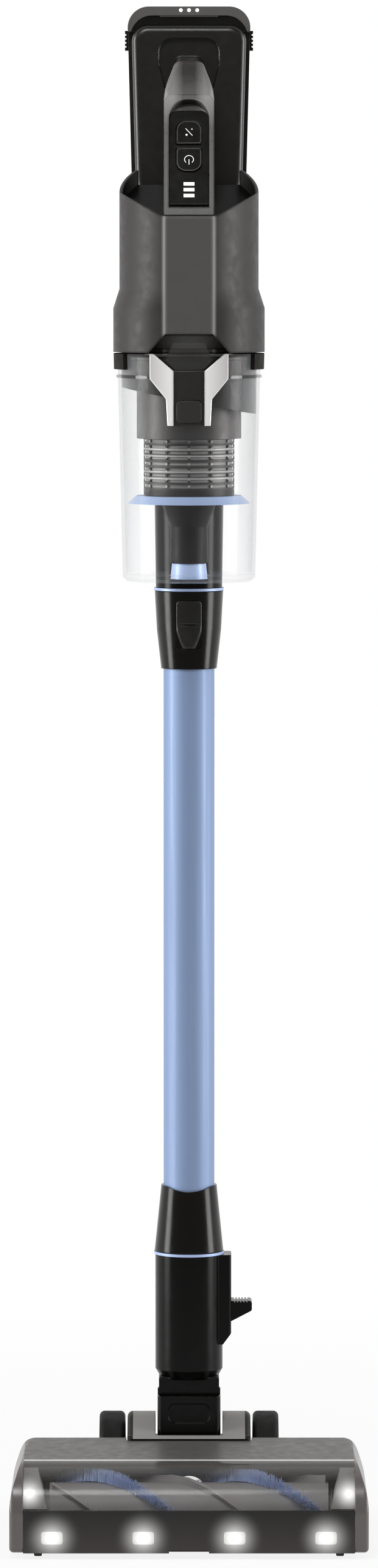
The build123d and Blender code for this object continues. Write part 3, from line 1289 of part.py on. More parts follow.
def off_panel(along, out):
    """A point some way up the panel's plane and out from it, as (y, z)."""
    foot = deck_point(CUP_Y + PANEL_FOOT)
    head = (CUP_Y + PANEL_HEAD[0], PANEL_HEAD[1])
    length = math.dist(foot, head)
    up_y, up_z = (head[0] - foot[0]) / length, (head[1] - foot[1]) / length
    return (foot[0] + along * up_y - out * up_z, foot[1] + along * up_z + out * up_y)


def panel_plane():
    """Plane of the grip's slanted front, with its Y up the slope."""
    foot, top = off_panel(0, 0), off_panel(1, 0)
    return Plane(origin=(0, *foot), x_dir=(1, 0, 0), z_dir=(0, foot[1] - top[1], top[0] - foot[0]))


PANEL_LENGTH = math.dist(deck_point(CUP_Y + PANEL_FOOT), (CUP_Y + PANEL_HEAD[0], PANEL_HEAD[1]))
HOOD_TIP = off_panel(PANEL_LENGTH + HOOD_REACH, HOOD)


def grip_outline(front):
    """Side view of the grip, from its foot on the deck to the dock, with a given front line."""
    root = DOCK_Y + 2 * RECESS_DEEP
    points = [off_panel(0, 0), *front, (root, GRIP_TOP), (root, GRIP_UNDER)]
    return points + [(CUP_Y + GRIP_ELBOW[0], GRIP_ELBOW[1]), deck_point(CUP_Y + GRIP_HEEL)]


def grip_front_view():
    """The grip's front view: straight rails, then narrowing to the dock."""
    base = HOOD_TIP[1]
    right = [(GRIP_HALF, base - HOOD), *((half, base + rise) for half, rise in GRIP_TAPER)]
    left = [(-half, z) for half, z in right]
    outline = Spline(*right, tangents=((0, 1), (-0.2, 1))) + Spline(*left, tangents=((0, 1), (0.2, 1)))
    outline += Line(right[-1], left[-1])
    outline += Polyline(right[0], (GRIP_HALF, 0), (-GRIP_HALF, 0), left[0])
    return extrude(make_face(Plane.XZ * outline), amount=4 * GRIP_HALF + DOCK_Y, both=True)


def make_grip():
    """The grip with its rails, and the arched pocket that the control panel sits in."""
    grip = side_profile(grip_outline([off_panel(2, PANEL_THICK), HOOD_TIP]), (-GRIP_HALF, GRIP_HALF))
    elbow = [e for e in grip.edges().filter_by(Axis.X) if abs(e.center().Z - GRIP_ELBOW[1]) < 0.1]
    grip = fillet(elbow, ELBOW_ROUND) & grip_front_view()
    spine = grip.faces().filter_by(lambda f: f.normal_at().Z > 0.5 and f.center().Z > HOOD_TIP[1])
    sides = [e for e in spine.edges() if e.length > DOCK_THICK and abs(e.center().X) > 1]
    grip = fillet(sides, GRIP_ROUND)
    span = (POCKET_FOOT, PANEL_LENGTH)
    shape = Pos(0, sum(span) / 2) * Rectangle(2 * POCKET_HALF, span[1] - span[0])
    shape = fillet(shape.vertices().sort_by(Axis.Y)[2:], POCKET_ARCH)
    grip -= extrude(panel_plane() * shape, amount=4 * HOOD)
    core = make_face(Plane.YZ * Polyline(*grip_outline([off_panel(PANEL_LENGTH, 0)]), close=True))
    core = offset(core, -2 * WALL, kind=Kind.INTERSECTION)
    return grip - extrude(core, amount=GRIP_CORE, dir=(1, 0, 0), both=True)


def make_handle_frame():
    """Grip and battery dock in one moulding."""
    low, high = DOCK_Z
    narrow, wide = DOCK_HALF
    plate = make_face(
        Plane.XZ * Polyline((-narrow, low), (narrow, low), (wide, high), (-wide, high), close=True)
    )
    plate = fillet(plate.vertices(), DOCK_ROUND)
    back = DOCK_Y + DOCK_THICK
    dock = Pos(0, back, 0) * extrude(plate, amount=DOCK_THICK, dir=(0, -1, 0))
    dock = fillet(dock.faces().sort_by(Axis.Y)[0].edges(), DOCK_EDGE)
    bottom, top = RECESS_Z
    thin, half = RECESS_HALF
    recess = across_y(
        [(-thin, bottom), (thin, bottom), (half, (bottom + top) / 2), (half, top), (-half, top)]
        + [(-half, (bottom + top) / 2)],
        (DOCK_Y - 1, DOCK_Y + RECESS_DEEP),
    )
    corners = [e for e in recess.edges().filter_by(Axis.Y) if abs(e.center().Z - top) < 0.1]
    dock -= fillet(corners, RECESS_ROUND)
    inset = DOCK_ROUND
    bay = box((inset - narrow, narrow - inset), (back - DOCK_HOLLOW, back + 1), (low + inset, high - inset))
    return (dock - bay) + make_grip()


def panel_block(half, span, depth, grow=0.0):
    """A block on the control panel's plane: half width, range up the slope and range of depth."""
    shape = Pos(0, sum(span) / 2) * Rectangle(2 * (half + grow), span[1] - span[0] + 2 * grow)
    return extrude(panel_plane().offset(depth[0]) * shape, amount=depth[1] - depth[0])


def button_block(span, depth, grow, upper):
    """One rounded button's body, round at its upper or its lower end."""
    shape = Pos(0, sum(span) / 2) * Rectangle(2 * (BUTTON_HALF + grow), span[1] - span[0] + 2 * grow)
    ends = shape.vertices().sort_by(Axis.Y)
    shape = fillet(ends[2:] if upper else ends[:2], BUTTON_ROUND)
    return extrude(panel_plane().offset(depth[0]) * shape, amount=depth[1] - depth[0])


def bar_blocks(grow):
    """The three charge bars."""
    width, height, deep = BAR_SIZE
    depth = (PANEL_THICK - deep - grow, PANEL_THICK + 0.1)
    return [
        panel_block(width / 2, (t - height / 2, t + height / 2), depth, grow) for t in BAR_PLACES
    ]


def make_control_panel():
    """Black face plate with openings for the buttons and charge bars."""
    shape = Pos(0, sum(PANEL_SPAN) / 2) * Rectangle(2 * PANEL_HALF_WIDTH, PANEL_SPAN[1] - PANEL_SPAN[0])
    shape = fillet(shape.vertices().sort_by(Axis.Y)[2:], PANEL_ROUND)
    plate = extrude(panel_plane().offset(SEAT_GAP) * shape, amount=PANEL_THICK - SEAT_GAP)
    through = (0, 2 * PANEL_THICK)
    plate -= button_block(MODE_SPAN, through, RUN_GAP, True)
    plate -= button_block(POWER_SPAN, through, RUN_GAP, False)
    for bar in bar_blocks(SEAT_GAP):
        plate -= bar
    return plate


def make_charge_bars():
    """Three bright bars in the panel."""
    return Compound(children=[solid for bar in bar_blocks(0) for solid in bar.solids()])


def make_mode_button():
    """Upper button."""
    depth = (BUTTON_TRAVEL + RUN_GAP, PANEL_THICK + BUTTON_PROUD)
    return button_block(MODE_SPAN, depth, 0, True)


def make_power_button():
    """Lower button."""
    depth = (BUTTON_TRAVEL + RUN_GAP, PANEL_THICK + BUTTON_PROUD)
    return button_block(POWER_SPAN, depth, 0, False)


def make_motor():
    """Suction motor on its flange, with the fan's shaft below."""
    low, high = MOTOR_Z
    motor = rod_z(MOTOR_R, 0, CUP_Y, (low, high))
    motor = fillet(motor.edges().sort_by(Axis.Z)[-1], 4.0)
    motor += rod_z(MOTOR_R + 2 * WALL, 0, CUP_Y, (low, low + WALL))
    return motor + rod_z(MOTOR_SHAFT_R, 0, CUP_Y, (FAN_Z[0], low))


def make_fan():
    """Fan with straight vanes on a backing disc."""
    low, high = FAN_Z
    fan = rod_z(FAN_R, 0, CUP_Y, (high - WALL / 2, high)) + rod_z(3 * MOTOR_SHAFT_R, 0, CUP_Y, FAN_Z)
    for i in range(FAN_VANES):
        vane = box((2 * MOTOR_SHAFT_R, FAN_R - 1), (-0.6, 0.6), (low, high))
        fan += Pos(0, CUP_Y, 0) * Rot(0, 0, 360.0 * i / FAN_VANES) * vane
    return fan - rod_z(MOTOR_SHAFT_R + SEAT_GAP, 0, CUP_Y, (low - 1, high + 1))


def make_pre_filter():
    """Foam filter on the housing's floor, pleated by grooves."""
    low = HOUSING_Z + WALL + SEAT_GAP
    disc = rod_z(FILTER_R, 0, CUP_Y, (low, FILTER_TOP))
    return fillet(disc.edges().sort_by(Axis.Z)[-1], 2.0)


def make_control_board():
    """Circuit board that stands in the rear cover."""
    wide, thick, tall = BOARD_SIZE
    low = HOUSING_Z + WALL + SEAT_GAP
    return box((-wide / 2, wide / 2), (WAND_Y - thick, WAND_Y), (low, low + tall))


# Battery

BATTERY_FRONT = DOCK_Y + DOCK_THICK + RUN_GAP
BATTERY_BACK = BATTERY_FRONT + BATTERY_DEPTH
LATCH_INNER = BATTERY_HALF[1] - 2 * WALL


def side_latch_block(inner, outer, grow=0.0):
    """Space of the right-hand side latch."""
    _, deep, tall = SIDE_LATCH
    middle = (BATTERY_FRONT + BATTERY_BACK) / 2
    return box(
        (inner, outer),
        (middle - deep / 2 - grow, middle + deep / 2 + grow),
        (SIDE_LATCH_Z - tall / 2 - grow, SIDE_LATCH_Z + tall / 2 + grow),
    )


def battery_block(narrow, wide, top, y):
    """A block on the battery's front view, with round upper corners."""
    low = BATTERY_Z[0]
    face = make_face(
        Plane.XZ.offset(-y[1]) * Polyline((-narrow, low), (narrow, low), (wide, top), (-wide, top), close=True)
    )
    face = fillet(face.vertices().sort_by(Axis.Z)[-2:], BATTERY_ROUND[0])
    return extrude(face, amount=y[1] - y[0], dir=(0, -1, 0))


def make_battery_case():
    """Battery pack's shell, with its cap over the dock and the charging socket at the back."""
    low, high = BATTERY_Z
    narrow, wide = BATTERY_HALF
    front = BATTERY_FRONT - BATTERY_LIP
    case = battery_block(narrow, wide, high, (BATTERY_FRONT, BATTERY_BACK))
    case = fillet(case.faces().sort_by(Axis.Y)[-1].edges(), BATTERY_ROUND[1])
    inside = DOCK_HALF[1] + 2 * RUN_GAP
    cap = battery_block(narrow, wide, high, (front, BATTERY_FRONT))
    cap -= battery_block(inside, inside, BAND_Z, (front - 1, BATTERY_FRONT + 1))
    cap -= box((-2 * wide, 2 * wide), (front - 1, BATTERY_FRONT + 1), (0, CAP_LEG))
    case += cap
    brow, drop = BROW
    case += box((-brow, brow), (front + 1, BATTERY_FRONT), (BAND_Z - drop, BAND_Z))
    cells = CELL_COUNT * 2 * (CELL_R + RUN_GAP)
    room = (BATTERY_FRONT + WALL, BATTERY_FRONT + WALL + 2 * CELL_R + 2 * RUN_GAP)
    cell_top = low + WALL + CELL_LENGTH + 2 * RUN_GAP
    roof = BAND_Z - 2 * WALL
    case -= box((-cells / 2, cells / 2), room, (low + WALL, cell_top))
    upper = cells / 2 - 2 * WALL
    case -= box((-upper, upper), (room[0], BATTERY_BACK - 2 * WALL), (cell_top, roof - BATTERY_ROUND[1]))
    pocket = side_latch_block(LATCH_INNER, 2 * wide, RUN_GAP)
    case = case - pocket - mirrored(pocket)
    for x in (-LED_SPACING, 0, LED_SPACING):
        case -= rod_y(LED_R + SEAT_GAP, x, (front - 1, front + 2), LED_Z)
    return case - rod_y(JACK_R, 0, (BATTERY_BACK - JACK_DEPTH, BATTERY_BACK + 1), JACK_Z)


def make_battery_cells():
    """Row of round cells."""
    low = BATTERY_Z[0] + WALL + SEAT_GAP
    y = BATTERY_FRONT + WALL + CELL_R + RUN_GAP
    step = 2 * (CELL_R + RUN_GAP)
    first = -(CELL_COUNT - 1) / 2
    places = [(first + i) * step for i in range(CELL_COUNT)]
    cells = [rod_z(CELL_R, x, y, (low, low + CELL_LENGTH)).solid() for x in places]
    return Compound(children=cells)


def make_battery_leds():
    """Three white lights in the battery's cap."""
    front = BATTERY_FRONT - BATTERY_LIP
    places = (-LED_SPACING, 0, LED_SPACING)
    return Compound(children=[rod_y(LED_R, x, (front, front + 2), LED_Z).solid() for x in places])


def make_battery_latch():
    """Right-hand ribbed latch on the battery's side."""
    outer = SIDE_LATCH[0]
    latch = side_latch_block(LATCH_INNER + LATCH_TRAVEL + RUN_GAP, outer)
    step = SIDE_LATCH[2] / LATCH_RIBS
    bottom = SIDE_LATCH_Z - SIDE_LATCH[2] / 2
    for i in range(LATCH_RIBS - 1):
        z = bottom + (i + 1) * step
        latch -= side_latch_block(outer - 1, outer + 1, 1) & box(
            (0, 2 * outer), (0, 2 * BATTERY_BACK), (z - 0.6, z + 0.6)
        )
    return latch


# All pieces, by node name

RIGHT_CAP = make_end_cap()
RIGHT_ROLLER = make_roller()
RIGHT_WHEEL = make_wheel()
RIGHT_LATCH = make_battery_latch()

NODES = {
    "head_chassis": make_head_chassis(),
    "head_cover": make_head_cover(),
    "brush_window": make_brush_window(),
    "lamp_bar": make_lamp_bar(),
    "lamp_lenses": make_lamp_lenses(),
    "end_cap_right": RIGHT_CAP,
    "end_cap_left": mirrored(RIGHT_CAP),
    "brush_core": make_brush_core(),
    "brush_bristles": make_brush_bristles(),
    "brush_motor": make_brush_motor(),
    "motor_pulley": make_motor_pulley(),
    "drive_belt": make_drive_belt(),
    "roller_right": RIGHT_ROLLER,
    "roller_left": mirrored(RIGHT_ROLLER),
    "neck_yoke": make_neck_yoke(),
    "yoke_pins": make_yoke_pins(),
    "wheel_right": RIGHT_WHEEL,
    "wheel_left": mirrored(RIGHT_WHEEL),
    "knuckle": make_knuckle(),
    "roll_pins": make_roll_pins(),
    "neck_hose": make_neck_hose(),
    "neck_tube": make_neck_tube(),
    "lower_trim_ring": make_lower_trim_ring(),
    "pedal": make_pedal(),
    "wand_tube": make_wand_tube(),
    "wand_lower_collar": make_wand_lower_collar(),
    "wand_upper_collar": make_wand_upper_collar(),
    "wand_button": make_wand_button(),
    "dust_cup": make_dust_cup(),
    "lid_hinge_pin": make_lid_hinge_pin(),
    "cup_lid": make_cup_lid(),
    "cone_plug": make_cone_plug(),
    "shroud": make_shroud(),
    "mesh_screen": make_mesh_screen(),
    "skirt": make_skirt(),
    "cone": make_cone(),
    "latch_frame": make_latch_frame(),
    "latch_insert": make_latch_insert(),
    "latch_tab": make_latch_tab(),
    "cup_button": make_cup_button(),
    "suction_tube": make_suction_tube(),
    "upper_trim_ring": make_upper_trim_ring(),
    "main_housing": make_main_housing(),
    "side_clips": make_side_clips(),
    "rear_cover": make_rear_cover(),
    "top_deck": make_top_deck(),
    "handle_frame": make_handle_frame(),
    "control_panel": make_control_panel(),
    "charge_bars": make_charge_bars(),
    "mode_button": make_mode_button(),
    "power_button": make_power_button(),
    "motor": make_motor(),
    "fan": make_fan(),
    "pre_filter": make_pre_filter(),
    "control_board": make_control_board(),
    "battery_case": make_battery_case(),
    "battery_cells": make_battery_cells(),
    "battery_leds": make_battery_leds(),
    "battery_latch_right": RIGHT_LATCH,
    "battery_latch_left": mirrored(RIGHT_LATCH),
}

os.makedirs("parts", exist_ok=True)
for name, shape in NODES.items():
    export_step(shape, f"parts/{name}.step")
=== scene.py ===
import json
import math
import random

import bmesh
import bpy
from mathutils import Matrix, Vector


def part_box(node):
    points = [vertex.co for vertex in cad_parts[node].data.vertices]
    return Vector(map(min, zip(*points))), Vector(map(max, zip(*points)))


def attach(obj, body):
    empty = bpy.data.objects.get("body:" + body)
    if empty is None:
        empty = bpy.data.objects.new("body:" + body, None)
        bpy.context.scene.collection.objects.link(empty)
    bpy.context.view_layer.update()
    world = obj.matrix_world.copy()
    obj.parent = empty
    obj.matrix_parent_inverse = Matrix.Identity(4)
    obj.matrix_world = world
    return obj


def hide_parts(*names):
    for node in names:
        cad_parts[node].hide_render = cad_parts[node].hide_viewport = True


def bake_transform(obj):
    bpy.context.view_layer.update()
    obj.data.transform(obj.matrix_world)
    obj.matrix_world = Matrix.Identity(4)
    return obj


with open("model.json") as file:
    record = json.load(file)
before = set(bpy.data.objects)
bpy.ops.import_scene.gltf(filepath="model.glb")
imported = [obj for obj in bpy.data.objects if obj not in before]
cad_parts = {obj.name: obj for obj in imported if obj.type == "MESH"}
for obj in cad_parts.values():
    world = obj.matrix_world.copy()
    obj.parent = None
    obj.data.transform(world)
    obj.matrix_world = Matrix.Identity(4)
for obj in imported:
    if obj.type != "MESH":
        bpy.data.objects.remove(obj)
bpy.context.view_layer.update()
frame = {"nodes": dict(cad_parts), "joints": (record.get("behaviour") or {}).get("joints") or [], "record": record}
NODES = frame["nodes"]
JOINTS = {joint["name"]: joint for joint in frame["joints"]}

MM = 0.001


# Places taken from the frame

DOCK_BEHIND_PANEL = 66.0 * MM
BAND_BELOW_LEDS = 14.0 * MM


def middle(node):
    """Middle of a node's box."""
    low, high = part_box(node)
    return (low + high) / 2


WAND_Y = middle("wand_tube").y
CUP_Y = middle("cone").y
BRUSH_AXIS = Vector(JOINTS["brush_spin"]["pos_m"])
COVER_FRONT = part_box("head_cover")[0].y
DOCK_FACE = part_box("control_panel")[1].y + DOCK_BEHIND_PANEL
BAND_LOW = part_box("battery_leds")[0].z - BAND_BELOW_LEDS


# Shader nodes

GRAIN_DEPTH = 0.2 * MM
BEVEL_SAMPLES = 6


def feed(tree, socket, value):
    """Links a socket or sets a plain value."""
    if isinstance(value, bpy.types.NodeSocket):
        tree.links.new(value, socket)
    else:
        socket.default_value = value


def math_node(tree, operation, *values):
    made = tree.nodes.new("ShaderNodeMath")
    made.operation = operation
    for socket, value in zip(made.inputs, values):
        feed(tree, socket, value)
    return made.outputs[0]


class Shader:
    """A node material round one Principled shader."""

    def __init__(self, name):
        self.material = bpy.data.materials.new(name)
        self.material.use_nodes = True
        self.tree = self.material.node_tree
        self.bsdf = self.tree.nodes["Principled BSDF"]
        self.coords = self.tree.nodes.new("ShaderNodeTexCoord").outputs["Object"]

    def node(self, kind, **inputs):
        made = self.tree.nodes.new(kind)
        for name, value in inputs.items():
            self.feed(made.inputs[name.replace("_", " ")], value)
        return made

    def feed(self, socket, value):
        feed(self.tree, socket, value)

    def set(self, **inputs):
        for name, value in inputs.items():
            self.feed(self.bsdf.inputs[name.replace("_", " ")], value)
        return self

    def math(self, operation, *values):
        return math_node(self.tree, operation, *values)

    def noise(self, scale, detail=3.0, stretch=(1, 1, 1)):
        mapping = self.node("ShaderNodeMapping", Vector=self.coords, Scale=stretch)
        made = self.node("ShaderNodeTexNoise", Vector=mapping.outputs[0], Scale=scale, Detail=detail)
        return made.outputs["Fac"]

    def span(self, value, low, high, start=0.0, end=1.0):
        """Maps what runs from start to end to what runs from low to high, and stops at both."""
        made = self.node("ShaderNodeMapRange", Value=value)
        made.inputs["From Min"].default_value = start
        made.inputs["From Max"].default_value = end
        made.inputs["To Min"].default_value = low
        made.inputs["To Max"].default_value = high
        return made.outputs[0]

    def blend(self, factor, first, second):
        made = self.tree.nodes.new("ShaderNodeMix")
        made.data_type = "RGBA"
        self.feed(made.inputs["Factor"], factor)
        self.feed(made.inputs["A"], first)
        self.feed(made.inputs["B"], second)
        return made.outputs["Result"]

    def bump(self, height, strength, distance=GRAIN_DEPTH, edge=0.0):
        """Fine relief, with edges rounded over some radius."""
        made = self.node("ShaderNodeBump", Height=height, Strength=strength, Distance=distance)
        if edge:
            bevel = self.node("ShaderNodeBevel", Radius=edge)
            bevel.samples = BEVEL_SAMPLES
            self.feed(made.inputs["Normal"], bevel.outputs[0])
        self.feed(self.bsdf.inputs["Normal"], made.outputs[0])
        return self

    def axis(self, name):
        """One object coordinate, in metres."""
        parts = self.node("ShaderNodeSeparateXYZ", Vector=self.coords)
        return parts.outputs[name]

    def aside(self):
        """Distance from the middle plane."""
        return self.math("ABSOLUTE", self.axis("X"))


# Colours and kinds of material


def srgb(red, green, blue):
    """Linear colour of 0-255 sRGB values."""

    def linear(value):
        value /= 255.0
        return value / 12.92 if value <= 0.04045 else ((value + 0.055) / 1.055) ** 2.4

    return (linear(red), linear(green), linear(blue), 1.0)


GREY = srgb(74, 72, 71)
BLACK = srgb(19, 17, 14)
DARK_EDGE = srgb(40, 38, 36)
BLUE = srgb(166, 186, 223)
WHITE = srgb(250, 250, 248)
CLEAR = srgb(208, 210, 212)

DRIFT = 0.06
DRIFT_SCALE = 22.0
GLOSS_SCALE = 140.0
NOISE_SPAN = (0.3, 0.7)
FACING_SPAN = (0.2, 1.0)
ACROSS_LINES = (0.05, 0.05, 1)
CUP_ALPHA = (0.012, 0.35)
CUP_ROUGH = 0.06


def shade(colour, factor):
    return tuple(channel * factor for channel in colour[:3]) + (1.0,)


def mottled(made, noise, colour, vary):
    """A colour that a noise makes a little darker and lighter."""
    return made.blend(noise, shade(colour, 1 - vary), shade(colour, 1 + vary))


def drifting(made, colour, vary=DRIFT):
    """A colour that wanders a little over the surface."""
    return mottled(made, made.noise(DRIFT_SCALE), colour, vary)


def plastic(name, colour, rough, grain=0.12, grain_scale=900.0, metal=0.0, edge=0.5, shine=0.5):
    """Moulded plastic: slight colour drift, uneven gloss, a fine grain and edges rounded by some mm."""
    made = Shader(name)
    made.set(
        Base_Color=drifting(made, colour),
        Roughness=made.span(made.noise(GLOSS_SCALE), rough * 0.85, rough * 1.15, *NOISE_SPAN),
        Metallic=metal,
        Specular_IOR_Level=shine,
    )
    return made.bump(made.noise(grain_scale), grain, edge=edge * MM)


def facing_alpha(made, alpha, rim):
    """Alpha that rises from a face seen straight on to one seen edge-on."""
    weight = made.node("ShaderNodeLayerWeight", Blend=0.5)
    return made.span(weight.outputs["Facing"], alpha, rim, *FACING_SPAN)


def clear(name, colour, alpha, rim, rough):
    """See-through plastic, denser where it is seen edge-on."""
    made = Shader(name)
    made.set(
        Base_Color=mottled(made, made.noise(30.0), colour, 0.04),
        Roughness=made.span(made.noise(90.0), rough * 0.8, rough * 1.2, *NOISE_SPAN),
        Alpha=facing_alpha(made, alpha, rim),
        Specular_IOR_Level=0.8,
    )
    return made.bump(made.noise(45.0), 0.006, 0.5 * MM)


def lit(name, colour, strength):
    """A glowing lens."""
    made = Shader(name)
    made.set(
        Base_Color=made.blend(made.noise(160.0), shade(colour, 0.2), shade(colour, 0.3)),
        Roughness=0.25,
        Emission_Color=colour,
        Emission_Strength=strength,
    )
    return made.bump(made.noise(600.0), 0.05)


def brushed(name, colour, rough, stretch, metal=1.0, vary=0.08):
    """Metal with fine lines along one direction."""
    made = Shader(name)
    lines = made.noise(260.0, 4.0, stretch)
    made.set(
        Base_Color=mottled(made, lines, colour, vary),
        Roughness=made.span(lines, rough * 0.8, rough * 1.25, *NOISE_SPAN),
        Metallic=metal,
    )
    return made.bump(lines, 0.05)


MATERIALS = {
    "housing_grey": plastic("housing_grey", GREY, 0.36, metal=0.35, edge=2.5, shine=0.3),
    "cheek_grey": plastic("cheek_grey", srgb(88, 84, 82), 0.26, grain=0.05, edge=1.5),
    "black_plastic": plastic("black_plastic", srgb(14, 13, 10), 0.2, grain=0.02, edge=0.9, shine=0.22),
    "matte_black": plastic("matte_black", srgb(7, 6, 5), 0.22, grain=0.02, edge=0.9, shine=0.14),
    "smoked_window": clear("smoked_window", srgb(104, 102, 100), 0.1, 0.7, 0.1),
    "clear_plastic": clear("clear_plastic", CLEAR, *CUP_ALPHA, CUP_ROUGH),
    "lamp_white": lit("lamp_white", WHITE, 0.85),
    "blue_metal": brushed("blue_metal", srgb(128, 148, 182), 0.5, (1, 1, 0.02), metal=0.25, vary=0.03),
    "blue_plastic": plastic("blue_plastic", BLUE, 0.4, metal=0.1),
    "bristle_blue": plastic("bristle_blue", srgb(196, 214, 250), 0.6, grain=0.4, edge=0.0),
    "fin_grey": plastic("fin_grey", srgb(150, 147, 145), 0.5, grain=0.3),
    "steel": brushed("steel", srgb(178, 177, 176), 0.3, ACROSS_LINES),
    "mesh_cloth": brushed("mesh_cloth", srgb(136, 135, 134), 0.55, ACROSS_LINES, metal=0.4),
    "tyre_rubber": plastic("tyre_rubber", srgb(21, 20, 19), 0.65, grain=0.4, shine=0.2),
    "filter_foam": plastic("filter_foam", srgb(205, 204, 200), 0.9, grain=1.0, grain_scale=500.0),
    "board_green": plastic("board_green", srgb(30, 84, 52), 0.5),
    "cell_green": plastic("cell_green", srgb(70, 110, 92), 0.4),
    "hose_black": plastic("hose_black", srgb(20, 19, 18), 0.55, grain=0.3, edge=0.0, shine=0.2),
    "belt_rubber": plastic("belt_rubber", srgb(22, 21, 20), 0.75, grain=0.4, shine=0.2),
}


# Pieces with more than one tone

LAMP_PITCH = 64.0 * MM
LAMP_Z = 14.8 * MM
HALO_REACH = (3.0 * MM, 22.0 * MM)
HALO_FALL = 2.6
HALO_LEVEL = 0.75
LENS_REACH = (2.0 * MM, 9.5 * MM)
LENS_EDGE_LEVEL = 0.25
END_LAMP = (112.0 * MM, 45.0 * MM)
END_LAMP_FOOT = 30.0 * MM
SPOT_REACH = (1.0 * MM, 13.0 * MM)
SPOT_FALL = 2.0
SPOT_LEVEL = 1.3
SCREEN_PITCH = 5.2 * MM
SCREEN_FOOT = 4.6 * MM
CREASE_X = 17.2 * MM
CREASE_HIGHLIGHT_REACH = 2.6 * MM
CREASE_HIGHLIGHT_FALL = 2.0
PANEL_FADE = 1.0 * MM
DOME_HIGHLIGHT_SIDE = (4.0 * MM, 11.0 * MM)
DOME_HIGHLIGHT_RISE = (-12.0 * MM, 9.0 * MM)
DOME_HIGHLIGHT_LEAST = 0.05
DOCK_FADE = 2.0 * MM
COVER_LIP_SHADOW = 1.2 * MM
COVER_HIGHLIGHT_BAND = (3.0 * MM, 8.0 * MM)
EAR_DARK_WIDTH = 4.0 * MM
TRAY_FOOT = 0.8 * MM
SHROUD_R = 37.6 * MM
SHROUD_FADE = 0.4 * MM
BEAD_DROP = 16.0 * MM
BEAD_HALF = 1.1 * MM
BEAD_ALPHA = 0.45
CUP_RIM_SHADOW = 1.5 * MM
CUP_RIM_ROUGH = 0.9
LATCH_HIGHLIGHT_FADE = (13.0 * MM, 27.0 * MM)
BAND_FADE = 0.5 * MM


def far_from(made, first, second):
    """Length of two offsets at right angles."""
    squares = [made.math("MULTIPLY", value, value) for value in (first, second)]
    return made.math("SQRT", made.math("ADD", *squares))


def lamp_distance(made):
    """Distance in the front view from the nearest front lamp."""
    half = LAMP_PITCH / 2
    across = made.math("WRAP", made.math("SUBTRACT", made.axis("X"), half), half, -half)
    return far_from(made, across, made.math("SUBTRACT", made.axis("Z"), LAMP_Z))


def haloed_bar():
    """Dark bar with the lamps' glow painted round each lens as emission, and painted shade that leaves it darker
    at the top and paler towards its foot.
    """
    made = plastic("lamp_bar", BLACK, 0.2, grain=0.04, edge=0.7, shine=0.3)
    low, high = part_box("lamp_bar")
    # Painted shade: darker at the top of the bar, paler towards its foot
    share = made.span(made.axis("Z"), 1.0, 0.0, low.z, high.z)
    # Painted glow: the bar itself emits light round each lens
    glow = made.math("POWER", made.span(lamp_distance(made), 1.0, 0.0, *HALO_REACH), HALO_FALL)
    made.set(
        Base_Color=made.blend(share, srgb(20, 18, 17), srgb(52, 48, 46)),
        Emission_Color=WHITE,
        Emission_Strength=made.math("MULTIPLY", glow, HALO_LEVEL),
    )
    return made


def glowing_lenses():
    """Lenses that are brightest in the middle; the end pieces are dim but for one spot."""
    made = plastic("lamp_lenses", srgb(150, 148, 146), 0.3, grain=0.05, edge=0.6, shine=0.3)
    front = made.span(lamp_distance(made), 1.0, LENS_EDGE_LEVEL, *LENS_REACH)
    across = made.math("SUBTRACT", made.aside(), END_LAMP[0])
    far = far_from(made, across, made.math("SUBTRACT", made.axis("Z"), END_LAMP[1]))
    spot = made.math("POWER", made.span(far, 1.0, 0.0, *SPOT_REACH), SPOT_FALL)
    at_end = made.math("GREATER_THAN", made.axis("Z"), END_LAMP_FOOT)
    power = made.node("ShaderNodeMix")
    made.feed(power.inputs["Factor"], at_end)
    made.feed(power.inputs["A"], front)
    made.feed(power.inputs["B"], made.math("MULTIPLY", spot, SPOT_LEVEL))
    made.set(Emission_Color=WHITE, Emission_Strength=power.outputs["Result"])
    return made


def banded_battery():
    """Black battery with a grey band round its top."""
    made = plastic("battery_case", BLACK, 0.42, grain=0.4, grain_scale=1500.0, shine=0.3)
    share = made.span(made.axis("Z"), 0.0, 1.0, BAND_LOW, BAND_LOW + BAND_FADE)
    made.set(Base_Color=made.blend(share, drifting(made, BLACK), drifting(made, srgb(88, 86, 84))))
    return made


def screen_steel():
    """Screen in level bands of light and dark steel, with a dark ring at its foot."""
    made = brushed("screen_steel", srgb(196, 195, 194), 0.5, ACROSS_LINES, metal=0.35)
    wave = made.math("SINE", made.math("MULTIPLY", made.axis("Z"), 2 * math.pi / SCREEN_PITCH))
    bands = made.blend(made.span(wave, 0.0, 1.0), srgb(52, 51, 50), srgb(158, 157, 156))
    foot = made.math("LESS_THAN", made.axis("Z"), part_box("mesh_screen")[0].z + SCREEN_FOOT)
    made.set(Base_Color=made.blend(foot, bands, DARK_EDGE))
    return made


def housing_with_painted_highlights():
    """Front housing with painted highlights along the two creases of its flat panel, and painted shade on the
    sides beyond them.
    """
    made = plastic("main_housing", GREY, 0.46, metal=0.12, edge=2.5, shine=0.25)
    # Painted highlight: a bright line along each crease, on the front half only
    off = made.math("ABSOLUTE", made.math("SUBTRACT", made.aside(), CREASE_X))
    line = made.math("POWER", made.span(off, 1.0, 0.0, 0.0, CREASE_HIGHLIGHT_REACH), CREASE_HIGHLIGHT_FALL)
    share = made.math("MULTIPLY", line, made.math("LESS_THAN", made.axis("Y"), CUP_Y))
    # Painted shade: the sides beyond the creases are darker than the flat panel
    panel = made.span(made.aside(), 1.0, 0.0, CREASE_X - PANEL_FADE, CREASE_X + PANEL_FADE)
    sides = drifting(made, srgb(48, 46, 45), 0.05)
    base = made.blend(panel, sides, drifting(made, srgb(86, 84, 83), 0.05))
    made.set(Base_Color=made.blend(share, base, srgb(158, 155, 154)))
    return made


